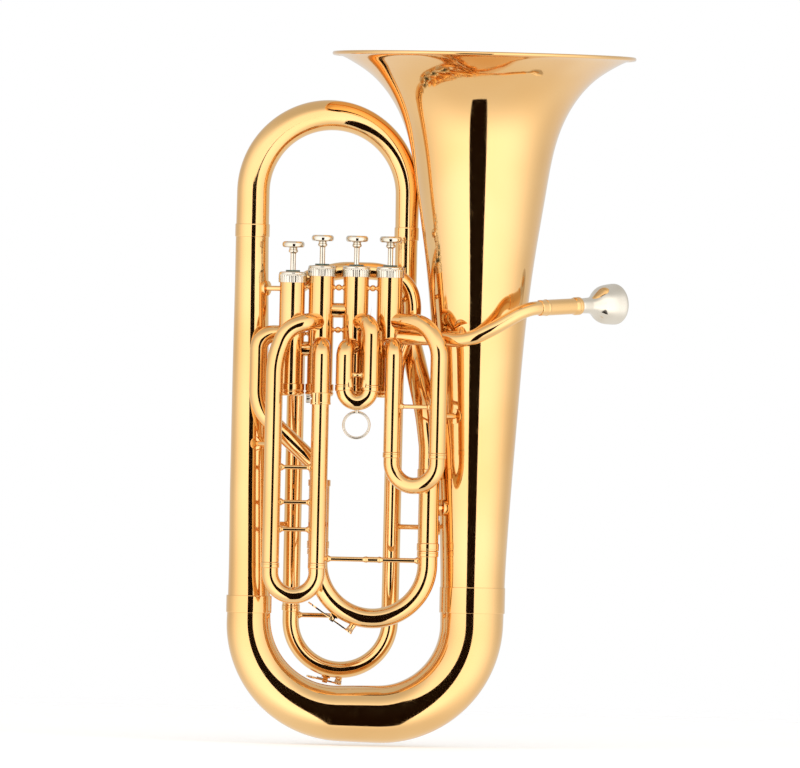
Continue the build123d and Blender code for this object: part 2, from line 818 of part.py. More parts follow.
# Each brace: where it starts (tube centre), where it ends (inside the big tube), the
# radius of the post and of the tube it starts on, and how far along the pad begins.
to_bell = [
    (at(first_right, 303), Vector(bell_x, 0, 303), 2.4, slide_outer, 27.6),
    (at(tuning_right, 218.5), Vector(bell_x, 0, 218.5), 3.2, tuning_outer, 12.2),
    (Vector(34, 4 + (knuckle - 200) * fourth_lean, 200), Vector(bell_x, 0, 200), 2.4, slide_outer, 43.2),
]
to_branch = [
    (at(third_left, 274), Vector(-98.6, 0, 274), 2.2, slide_outer, 32.8),
    (Vector(-92, -27, 342), Vector(-99.3, 0, 342), 3.4, exit_radius, 30),
    (Vector(-57.5, 4 + (knuckle - 200) * fourth_lean, 200), Vector(-97.4, 0, 200), 2.4, slide_outer, 26.2),
    (valve_at(4, 417), Vector(-100, 0, 417), 2.4, casing_radius, 26.4),
]
leadpipe_core = tube(leadpipe_points, [45, 40, 60, 30], leadpipe_radius, leadpipe_radius - 0.5)
with BuildPart() as body_stays:
    for group, core in ((to_bell, bell_core), (to_branch, branch_core)):
        for start, end, radius, leg, pad_from in group:
            stay = post(start, end, radius, radius + 4.5, pad_from)
            with BuildPart() as trimmed:
                add(stay.part)
                add(core.part, mode=Mode.SUBTRACT)
                with BuildSketch(Plane(origin=start - Vector(0, 0, 25))):
                    Circle(leg)
                extrude(amount=50, mode=Mode.SUBTRACT)
            add(trimmed.part)
    with BuildPart() as branch_stay:
        add(post(valve_at(1, 408), at(top_bow_right, 408), 2.2).part)
        for spot, leg in ((valve_at(1, 380), casing_radius), (at(top_bow_right, 380), main_branch_radius)):
            with BuildSketch(Plane(origin=spot)):
                Circle(leg)
            extrude(amount=60, mode=Mode.SUBTRACT)
    add(branch_stay.part)
    with BuildPart() as leadpipe_stay:
        add(post(Vector(94, -52, 373), Vector(95, -22, 399), 2.4, 7.5, 17.5).part)
        add(bell_core.part, mode=Mode.SUBTRACT)
        add(leadpipe_core.part, mode=Mode.SUBTRACT)
    add(leadpipe_stay.part)
    add(fourth_slide_outer.part, mode=Mode.SUBTRACT)
finish(body_stays, "body_stays")

# ---------------------------------------------------------------- lyre holder
holder_z = 311.0
socket = Vector(third_right.X - 4.6, third_right.Y - 11.4, holder_z)
with BuildPart() as lyre_holder:
    with BuildSketch(Plane(origin=at(third_right, holder_z))):
        Circle(slide_outer + 1.5)
    extrude(amount=11)
    with BuildSketch(Plane(origin=socket)):
        Rectangle(8.4, 7.4)
    extrude(amount=11)
    fillet(lyre_holder.edges().filter_by(Axis.Z), radius=0.8)
    with BuildSketch(Plane(origin=at(third_right, holder_z - 1))):
        Circle(slide_outer)
    extrude(amount=13, mode=Mode.SUBTRACT)
    with BuildSketch(Plane(origin=socket)):
        Circle(2.0)
    extrude(amount=11, mode=Mode.SUBTRACT)
    screw_spot = socket + Vector(0, 0, 5.5)
    with BuildSketch(Plane(origin=screw_spot, z_dir=(-1, 0, 0))):
        Circle(1.3)
    extrude(amount=6, mode=Mode.SUBTRACT)
finish(lyre_holder, "lyre_holder")

with BuildPart() as lyre_screw:
    with BuildSketch(Plane(origin=screw_spot + Vector(-2.3, 0, 0), z_dir=(-1, 0, 0))):
        Circle(1.25)
    extrude(amount=2.6)
    with BuildSketch(Plane(origin=screw_spot + Vector(-4.6, 0, 0), z_dir=(-1, 0, 0))):
        Circle(4.2)
        with PolarLocations(4.6, 10):
            Circle(0.8, mode=Mode.SUBTRACT)
    extrude(amount=4.2)
    fillet(lyre_screw.edges().group_by(Axis.X)[0], radius=0.5)
finish(lyre_screw, "lyre_screw")

# ---------------------------------------------------------------- water keys
pin_rise = 3.9  # hinge pin above the crook's surface


def water_key(name, middle, up, sweep_radius, tube_radius, angle, drain, touch):
    """A sprung lever that holds a cork over the drain of a crook. The lever is hinged
    where the crook's outside faces the given angle; drain and touch are how far from
    the hinge the cork and the finger plate are."""
    side = Vector(1, 0, 0)
    turn = math.radians(angle)
    out = side * math.cos(turn) + up * math.sin(turn)
    along = up * math.cos(turn) - side * math.sin(turn)
    foot = middle + out * (sweep_radius + tube_radius)
    deck = Plane(origin=foot, x_dir=along, z_dir=out)
    across = Plane(origin=foot + out * pin_rise, x_dir=along, z_dir=deck.y_dir)
    ring = Plane(origin=middle, z_dir=deck.y_dir)

    with BuildPart() as saddle:
        with BuildSketch(deck.offset(-2)):
            Rectangle(8, 6.8)
        extrude(amount=2.9)
        for place in (-2.8, 2.8):
            with BuildSketch(deck):
                with Locations((0, place)):
                    Rectangle(4.6, 1.2)
            extrude(amount=pin_rise + 1.8)
        with BuildSketch(deck.offset(-6)):
            with Locations((drain, 0)):
                Circle(3.0)
        extrude(amount=6.6)
        with BuildSketch(deck.offset(-8)):
            with Locations((drain, 0)):
                Circle(2.0)
        extrude(amount=10, mode=Mode.SUBTRACT)
        with BuildSketch(across):
            Circle(0.95)
        extrude(amount=5, both=True, mode=Mode.SUBTRACT)
        with Locations(ring):
            Torus(sweep_radius, tube_radius, mode=Mode.SUBTRACT)
    finish(saddle, name + "_saddle")

    with BuildPart() as lever:
        with BuildSketch(deck.offset(pin_rise - 0.7)):
            with Locations(((drain + touch) / 2, 0)):
                Rectangle(drain - touch, 2.6)
            with Locations((drain, 0)):
                Circle(3.7)
            with Locations((touch, 0)):
                Ellipse(4.6, 3.6)
        extrude(amount=1.4)
        with BuildSketch(deck.offset(pin_rise - 1.5)):
            Rectangle(4.4, 1.6)
        extrude(amount=3.0)
        with BuildSketch(across):
            Circle(0.9)
        extrude(amount=3.5, both=True)
    finish(lever, name + "_lever")

    with BuildPart() as cork:
        with BuildSketch(deck.offset(0.7)):
            with Locations((drain, 0)):
                Circle(3.2)
        extrude(amount=pin_rise - 0.7 - 0.7)
    finish(cork, name + "_cork")

    with BuildPart() as spring:
        for place in (-1.55, 1.55):
            with BuildSketch(across.offset(place)):
                Circle(1.5)
            extrude(amount=0.5, both=True)
            with BuildSketch(Plane(origin=foot + out * (pin_rise - 1.15) + deck.y_dir * place, z_dir=-along)):
                Circle(0.35)
            extrude(amount=8)
        with BuildSketch(across):
            Circle(0.9)
        extrude(amount=4, both=True, mode=Mode.SUBTRACT)
        with BuildSketch(deck.offset(pin_rise - 0.7)):
            Rectangle(60, 2.6)
        extrude(amount=1.4, mode=Mode.SUBTRACT)
    finish(spring, name + "_spring")


upright = Vector(0, 0, 1)
tuning_middle = at((tuning_left + tuning_right) * 0.5, tuning_crook_z)
water_key("tuning_key", tuning_middle, upright, 50.5, tuning_bow_radius, 235, 19, -22)
fourth_reach = (fourth_joint_z - 112.0) / -fourth_down.Z
fourth_middle = (fourth_left + fourth_right) * 0.5 + fourth_down * fourth_reach
fourth_radius = (fourth_right - fourth_left).length / 2
water_key("fourth_key", fourth_middle, -fourth_down, fourth_radius, bow_radius, 257, 12, -13)
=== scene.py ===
"""A four-valve B flat euphonium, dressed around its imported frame. Sizes are in millimetres."""
import logging
import math
from dataclasses import dataclass, field
from enum import Enum

import bpy
import numpy as np
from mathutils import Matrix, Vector


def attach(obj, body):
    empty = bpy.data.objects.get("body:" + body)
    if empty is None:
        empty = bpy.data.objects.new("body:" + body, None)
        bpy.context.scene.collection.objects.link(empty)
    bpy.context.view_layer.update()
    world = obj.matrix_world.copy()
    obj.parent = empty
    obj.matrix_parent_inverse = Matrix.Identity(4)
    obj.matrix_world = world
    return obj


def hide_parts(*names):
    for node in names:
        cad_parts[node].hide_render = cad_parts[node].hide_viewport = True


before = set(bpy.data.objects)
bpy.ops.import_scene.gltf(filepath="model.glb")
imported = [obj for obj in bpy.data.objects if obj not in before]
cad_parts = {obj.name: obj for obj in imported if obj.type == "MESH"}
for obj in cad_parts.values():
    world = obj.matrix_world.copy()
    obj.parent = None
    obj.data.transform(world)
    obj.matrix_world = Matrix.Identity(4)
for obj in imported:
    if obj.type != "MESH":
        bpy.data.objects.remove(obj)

logging.basicConfig(level=logging.INFO, format="%(name)s: %(message)s")
log = logging.getLogger("euphonium")

MM = 0.001
CREASE = math.radians(32.0)
# a straight stretch longer than the first gets a ring this far inside each end
BRACE_LENGTH = 3.0
BRACE_REACH = 0.5
# a turned profile closes to a point inside this radius
POLE_RADIUS = 1e-6
UP = np.array((0.0, 0.0, 1.0))
Point = tuple[float, float, float]
Colour = tuple[float, float, float]


class Slot(Enum):
    """Names of the finishes a piece may take."""

    BRASS = "lacquered_brass"
    NICKEL = "nickel_silver"
    PISTON = "piston_plating"
    SPRING = "spring_steel"
    FELT = "felt"
    CORK = "cork"


# ---------------------------------------------------------------- plain geometry
def vec(*numbers: float) -> np.ndarray:
    """A point or a direction."""
    return np.array(numbers, float)


def unit(way: np.ndarray) -> np.ndarray:
    """The direction of a vector."""
    return way / np.linalg.norm(way)


def square_axes(way: np.ndarray) -> tuple[np.ndarray, np.ndarray]:
    """Two directions square to a third and to each other."""
    helper = UP if abs(way[2]) < 0.9 else vec(0.0, 1.0, 0.0)
    first = unit(np.cross(helper, way))
    return first, np.cross(way, first)


def braced(profile: np.ndarray) -> np.ndarray:
    """Adds a point near both ends of each long straight stretch, so that it shades flat."""
    made = [profile[0]]
    for start, end in zip(profile, profile[1:]):
        length = float(np.linalg.norm(end - start))
        if length > BRACE_LENGTH:
            near = BRACE_REACH / length
            made.extend((start + (end - start) * near, end + (start - end) * near))
        made.append(end)
    return np.array(made)


def rounded(corners: list[tuple[float, float]], fillet: float, steps: int = 4) -> np.ndarray:
    """Rounds the inner corners of a profile.

    Args:
        corners: The profile's corners, as pairs.
        fillet: How far from a corner its rounding begins.
        steps: Facets in each rounding.

    Returns:
        The rounded profile's points, one a row.
    """
    line = [np.array(corner, float) for corner in corners]
    made = [line[0]]
    for before, corner, after in zip(line, line[1:], line[2:]):
        back, on = before - corner, after - corner
        reach = min(fillet, 0.45 * np.linalg.norm(back), 0.45 * np.linalg.norm(on))
        start, end = corner + unit(back) * reach, corner + unit(on) * reach
        for step in range(steps + 1):
            share = step / steps
            made.append(start * (1 - share) ** 2 + corner * 2 * share * (1 - share) + end * share**2)
    made.append(line[-1])
    return braced(np.array(made))


def curved(points: list[tuple[float, float]], start: tuple, end: tuple, count: int) -> np.ndarray:
    """A smooth curve through points in a plane, with given end directions.

    Args:
        points: What the curve passes through.
        start: Its direction at the first point.
        end: Its direction at the last point.
        count: How many points to return.

    Returns:
        Points along the curve, one a row.
    """
    spots = np.array(points, float)
    gaps = np.linalg.norm(np.diff(spots, axis=0), axis=1)
    knots = np.concatenate(([0.0], np.cumsum(gaps)))
    size = len(spots)
    system, right = np.zeros((size, size)), np.zeros((size, 2))
    system[0, 0] = system[-1, -1] = 1.0
    right[0], right[-1] = unit(np.array(start, float)), unit(np.array(end, float))
    for row in range(1, size - 1):
        near, far = gaps[row - 1], gaps[row]
        system[row, row - 1 : row + 2] = far, 2 * (near + far), near
        slopes = (spots[row] - spots[row - 1]) / near, (spots[row + 1] - spots[row]) / far
        right[row] = 3 * (far * slopes[0] + near * slopes[1])
    slopes = np.linalg.solve(system, right)
    places = np.linspace(0.0, knots[-1], count)
    spans = np.clip(np.searchsorted(knots, places, side="right") - 1, 0, size - 2)
    width = gaps[spans][:, None]
    t = ((places - knots[spans]) / gaps[spans])[:, None]
    return (
        (2 * t**3 - 3 * t**2 + 1) * spots[spans]
        + (t**3 - 2 * t**2 + t) * width * slopes[spans]
        + (3 * t**2 - 2 * t**3) * spots[spans + 1]
        + (t**3 - t**2) * width * slopes[spans + 1]
    )


def eased(stations: list[tuple[float, float]], places: np.ndarray) -> np.ndarray:
    """A smooth taper through stations.

    Args:
        stations: Pairs of a place and a radius.
        places: Where the radius is wanted.

    Returns:
        The radius at each place.
    """
    knots, sizes = np.array(stations, float).T
    slopes = np.gradient(sizes, knots)
    spans = np.clip(np.searchsorted(knots, places, side="right") - 1, 0, len(knots) - 2)
    width = knots[spans + 1] - knots[spans]
    t = np.clip((places - knots[spans]) / width, 0.0, 1.0)
    return (
        (2 * t**3 - 3 * t**2 + 1) * sizes[spans]
        + (t**3 - 2 * t**2 + t) * width * slopes[spans]
        + (3 * t**2 - 2 * t**3) * sizes[spans + 1]
        + (t**3 - t**2) * width * slopes[spans + 1]
    )


@dataclass
class Route:
    """A centre line made of straight runs and arcs, measured from its start.

    Each leg is its start, its direction there, its length, and for an arc the centre
    and the sweep.
    """

    legs: list[tuple] = field(default_factory=list)

    STRAIGHT = 1e-4
    RING_CLEARANCE = 0.4
    LEAST_GAP = 0.02

    @classmethod
    def bent(cls, corners: list[Point], bends: list[float]) -> "Route":
        """Straight runs joined by tangent bends.

        Args:
            corners: Where the straight runs would meet.
            bends: The radius of each bend in turn, or one for them all.

        Returns:
            The route.
        """
        line = [np.array(corner, float) for corner in corners]
        radii = list(bends) * (len(line) - 2) if len(bends) == 1 else list(bends)
        route, here = cls(), line[0]
        for before, corner, after, radius in zip(line, line[1:], line[2:], radii):
            into, out = unit(corner - before), unit(after - corner)
            sweep = math.acos(max(-1.0, min(1.0, float(into @ out))))
            if sweep < cls.STRAIGHT:
                continue
            cut = radius * math.tan(sweep / 2)
            if float((corner - into * cut - here) @ into) < -1e-6:
                raise ValueError(f"the bend of {radius} at {corner} doesn't fit")
            route.run(here, corner - into * cut)
            side = unit(out - into * float(into @ out))
            route.arc(corner - into * cut, into, side, radius, sweep)
            here = corner + out * cut
        route.run(here, line[-1])
        return route

    def run(self, start: np.ndarray, end: np.ndarray) -> "Route":
        """Adds a straight run, and returns the route."""
        length = float(np.linalg.norm(end - start))
        if length > 1e-6:
            self.legs.append((start, unit(end - start), length, None, 0.0, 0.0))
        return self

    def arc(
        self, start: np.ndarray, way: np.ndarray, side: np.ndarray, radius: float, sweep: float
    ) -> "Route":
        """Adds an arc that turns towards a side, and returns the route."""
        self.legs.append((start, way, radius * sweep, side, radius, sweep))
        return self

    @property
    def length(self) -> float:
        """The whole length."""
        return sum(leg[2] for leg in self.legs)

    def spot(self, place: float) -> np.ndarray:
        """The point at a distance from the start."""
        for start, way, length, side, radius, sweep in self.legs:
            if place <= length + 1e-9 or self.legs[-1][0] is start:
                if side is None:
                    return start + way * place
                turn = place / radius
                return start + way * radius * math.sin(turn) + side * radius * (1 - math.cos(turn))
            place -= length
        raise ValueError("the place is past the route's end")

    def places(
        self, extra: np.ndarray, begin: float = 0.0, step: float = 7.0, turn: float = 2.6
    ) -> np.ndarray:
        """Distances at which a tube on the route has a ring.

        Args:
            extra: Distances that must be among them.
            begin: Where the tube begins.
            step: The longest gap on a straight run.
            turn: The widest gap on an arc, in degrees.

        Returns:
            The distances, in order.
        """
        regular, gone = [], 0.0
        for _, _, length, side, _, sweep in self.legs:
            count = math.ceil(length / step if side is None else math.degrees(sweep) / turn)
            regular.extend(gone + length * np.arange(count + 1) / count)
            gone += length
        inside = extra[(extra > begin) & (extra < self.length)]
        exact = np.unique(np.round(np.concatenate(([begin], inside, [self.length])), 3))
        regular = np.array([place for place in regular if begin < place < self.length])
        clear = np.abs(regular[:, None] - exact[None, :]).min(axis=1) > self.RING_CLEARANCE
        found = np.sort(np.concatenate((exact, regular[clear])))
        keep = [found[0]]
        for place in found[1:-1]:
            if place - keep[-1] > self.LEAST_GAP:
                keep.append(place)
        return np.array([*keep, found[-1]])


class Stock:
    """A mesh being made, in millimetres."""

    def __init__(self) -> None:
        """Starts empty."""
        self.spots: list[np.ndarray] = []
        self.faces: list[tuple[int, ...]] = []
        self.count = 0

    def put(self, spots: np.ndarray, faces: list[tuple[int, ...]]) -> None:
        """Adds points and the faces between them."""
        self.faces.extend(tuple(corner + self.count for corner in face) for face in faces)
        self.spots.append(np.asarray(spots, float))
        self.count += len(spots)

    def put_mesh(self, mesh: bpy.types.Mesh) -> None:
        """Adds a finished mesh and removes it from the file."""
        spots = np.zeros(len(mesh.vertices) * 3)
        mesh.vertices.foreach_get("co", spots)
        self.put(spots.reshape(-1, 3) / MM, [tuple(face.vertices) for face in mesh.polygons])
        bpy.data.meshes.remove(mesh)

    def turned(
        self, profile: np.ndarray, origin: np.ndarray, axis: np.ndarray, sides: int, loop: bool = False
    ) -> None:
        """Adds a piece turned on a lathe.

        Args:
            profile: Radius and height along the axis, from the low end up the outside.
            origin: Where height is zero.
            axis: Which way height grows.
            sides: Facets round the piece.
            loop: Whether the profile closes on itself, as a hollow ring's does.
        """
        across, over = square_axes(axis)
        angles = np.arange(sides) * (2 * math.pi / sides)
        circle = np.outer(np.cos(angles), across) + np.outer(np.sin(angles), over)
        spots, rings = [], []
        for radius, height in profile:
            base = origin + axis * height
            first = sum(len(ring) for ring in rings)
            if radius < POLE_RADIUS:
                spots.append(base[None, :])
                rings.append([first])
            else:
                spots.append(base + circle * radius)
                rings.append(list(range(first, first + sides)))
        pairs = list(zip(rings, rings[1:])) + ([(rings[-1], rings[0])] if loop else [])
        faces = []
        for low, high in pairs:
            for index in range(sides):
                after = (index + 1) % sides
                if len(low) == 1:
                    faces.append((low[0], high[after], high[index]))
                elif len(high) == 1:
                    faces.append((low[index], low[after], high[0]))
                else:
                    faces.append((low[index], low[after], high[after], high[index]))
        self.put(np.concatenate(spots), faces)

    def piece(self, name: str, finish: bpy.types.Material, crease: float = CREASE) -> bpy.types.Object:
        """Turns the stock into an object.

        Args:
            name: What the piece is called.
            finish: Its material.
            crease: The angle past which an edge stays sharp.

        Returns:
            The object, at the origin, with its place in its mesh.
        """
        mesh = bpy.data.meshes.new(name)
        mesh.from_pydata((np.concatenate(self.spots) * MM).tolist(), [], self.faces)
        mesh.materials.append(finish)
        mesh.shade_smooth()
        mesh.set_sharp_from_angle(angle=crease)
        made = bpy.data.objects.new(name, mesh)
        bpy.context.scene.collection.objects.link(made)
        return made


# ---------------------------------------------------------------- trees of geometry nodes
def add_socket(tree: bpy.types.NodeTree, name: str, kind: str, going: str = "INPUT") -> str:
    """Gives a tree a named input or output, and returns its identifier."""
    return tree.interface.new_socket(name=name, in_out=going, socket_type=kind).identifier


class TubeTree:
    """Draws tubes along marked centre lines: each point carries its own radius."""

    def __init__(self) -> None:
        """Builds the tree."""
        tree = bpy.data.node_groups.new("drawn_tube", "GeometryNodeTree")
        add_socket(tree, "Centre Lines", "NodeSocketGeometry")
        self.sides = add_socket(tree, "Sides", "NodeSocketInt")
        self.finish = add_socket(tree, "Finish", "NodeSocketMaterial")
        add_socket(tree, "Tubes", "NodeSocketGeometry", "OUTPUT")
        new, link = tree.nodes.new, tree.links.new
        come, go = new("NodeGroupInput"), new("NodeGroupOutput")
        radius = new("GeometryNodeInputNamedAttribute")
        radius.data_type = "FLOAT"
        radius.inputs["Name"].default_value = "tube_radius"
        line, sized = new("GeometryNodeMeshToCurve"), new("GeometryNodeSetCurveRadius")
        circle, drawn = new("GeometryNodeCurvePrimitiveCircle"), new("GeometryNodeCurveToMesh")
        circle.inputs["Radius"].default_value = 1.0
        real, dressed = new("GeometryNodeRealizeInstances"), new("GeometryNodeSetMaterial")
        link(come.outputs["Centre Lines"], line.inputs["Mesh"])
        link(line.outputs["Curve"], sized.inputs["Curve"])
        link(radius.outputs["Attribute"], sized.inputs["Radius"])
        link(sized.outputs["Curve"], drawn.inputs["Curve"])
        link(radius.outputs["Attribute"], drawn.inputs["Scale"])
        link(come.outputs["Sides"], circle.inputs["Resolution"])
        link(circle.outputs["Curve"], drawn.inputs["Profile Curve"])
        link(drawn.outputs["Mesh"], real.inputs["Geometry"])
        link(real.outputs["Geometry"], dressed.inputs["Geometry"])
        link(come.outputs["Finish"], dressed.inputs["Material"])
        link(dressed.outputs["Geometry"], go.inputs["Tubes"])
        self.tree = tree


class CoinEdgeTree:
    """Presses ribs all round the rim of a turned piece, between two heights."""

    SHARPNESS = 1.6

    def __init__(self) -> None:
        """Builds the tree."""
        tree = bpy.data.node_groups.new("coin_edge", "GeometryNodeTree")
        add_socket(tree, "Blank", "NodeSocketGeometry")
        names = ("Centre X", "Centre Y", "Ribs", "Depth", "Low", "High", "Inner Radius")
        self.inputs = {name: add_socket(tree, name, "NodeSocketFloat") for name in names}
        self.finish = add_socket(tree, "Finish", "NodeSocketMaterial")
        add_socket(tree, "Ribbed", "NodeSocketGeometry", "OUTPUT")
        self.tree = tree
        self.come = tree.nodes.new("NodeGroupInput")
        place, split = tree.nodes.new("GeometryNodeInputPosition"), tree.nodes.new("ShaderNodeSeparateXYZ")
        tree.links.new(place.outputs["Position"], split.inputs["Vector"])
        east = self.sum("SUBTRACT", split.outputs["X"], self.given("Centre X"))
        north = self.sum("SUBTRACT", split.outputs["Y"], self.given("Centre Y"))
        squares = self.sum("ADD", self.sum("MULTIPLY", east, east), self.sum("MULTIPLY", north, north))
        radius = self.sum("SQRT", squares)
        turn = self.sum("MULTIPLY", self.sum("ARCTAN2", north, east), self.given("Ribs"))
        wave = self.sum("MULTIPLY_ADD", self.sum("COSINE", turn), 0.5, 0.5)
        groove = self.sum("MULTIPLY", self.sum("POWER", wave, self.SHARPNESS), self.given("Depth"))
        for test in (
            self.sum("GREATER_THAN", split.outputs["Z"], self.given("Low")),
            self.sum("LESS_THAN", split.outputs["Z"], self.given("High")),
            self.sum("GREATER_THAN", radius, self.given("Inner Radius")),
        ):
            groove = self.sum("MULTIPLY", groove, test)
        share = self.sum("DIVIDE", self.sum("MULTIPLY", groove, -1.0), radius)
        push = tree.nodes.new("ShaderNodeCombineXYZ")
        tree.links.new(self.sum("MULTIPLY", east, share), push.inputs["X"])
        tree.links.new(self.sum("MULTIPLY", north, share), push.inputs["Y"])
        moved, go = tree.nodes.new("GeometryNodeSetPosition"), tree.nodes.new("NodeGroupOutput")
        real = tree.nodes.new("GeometryNodeRealizeInstances")
        dressed = tree.nodes.new("GeometryNodeSetMaterial")
        tree.links.new(self.come.outputs["Blank"], moved.inputs["Geometry"])
        tree.links.new(push.outputs["Vector"], moved.inputs["Offset"])
        tree.links.new(moved.outputs["Geometry"], real.inputs["Geometry"])
        tree.links.new(real.outputs["Geometry"], dressed.inputs["Geometry"])
        tree.links.new(self.come.outputs["Finish"], dressed.inputs["Material"])
        tree.links.new(dressed.outputs["Geometry"], go.inputs["Ribbed"])

    def given(self, name: str) -> bpy.types.NodeSocket:
        """The socket inside the tree that carries an input."""
        return self.come.outputs[name]

    def sum(self, operation: str, *values: object) -> bpy.types.NodeSocket:
        """A node of arithmetic; each value is a number or a socket. Returns its result."""
        node = self.tree.nodes.new("ShaderNodeMath")
        node.operation = operation
        for socket, value in zip(node.inputs, values):
            if isinstance(value, (int, float)):
                socket.default_value = value
            else:
                self.tree.links.new(value, socket)
        return node.outputs[0]


def settled(made: bpy.types.Object) -> bpy.types.Mesh:
    """Takes the plain mesh that an object's modifiers give, and removes the object.

    Args:
        made: An object with its modifiers set.

    Returns:
        The mesh.
    """
    bpy.context.view_layer.update()
    graph = bpy.context.evaluated_depsgraph_get()
    mesh = bpy.data.meshes.new_from_object(made.evaluated_get(graph), depsgraph=graph)
    old = made.data
    made.modifiers.clear()
    bpy.data.objects.remove(made)
    bpy.data.meshes.remove(old)
    return mesh


@dataclass
class Tube:
    """One tube: its route, and its radius against distance from the start.

    Args of the fields:
        socket: The axis (x, y) of the casing that its start is cut to meet.
        eased: Whether its radius grows smoothly through the stations.
    """

    route: Route
    stations: list[tuple[float, float]]
    fillet: float = 0.35
    socket: tuple[float, float] | None = None
    eased: bool = False

    SOCKET_START = 8.2
    SOCKET_WALL = 11.15

    def centre_line(self) -> tuple[np.ndarray, np.ndarray]:
        """The points of the centre line, and the radius at each."""
        begin = self.SOCKET_START if self.socket else 0.0
        if self.eased:
            places = self.route.places(np.array([]), begin)
            radii = eased(self.stations, places)
        else:
            shaped = len(self.stations) > 2
            profile = rounded(self.stations, self.fillet) if shaped else np.array(self.stations)
            places = self.route.places(profile[:, 0], begin)
            radii = np.interp(places, profile[:, 0], profile[:, 1])
        return np.array([self.route.spot(place) for place in places]), radii


def plain(route: Route, radius: float, socket: tuple[float, float] | None = None) -> Tube:
    """A tube of one radius."""
    return Tube(route, [(0.0, radius), (route.length, radius)], socket=socket)


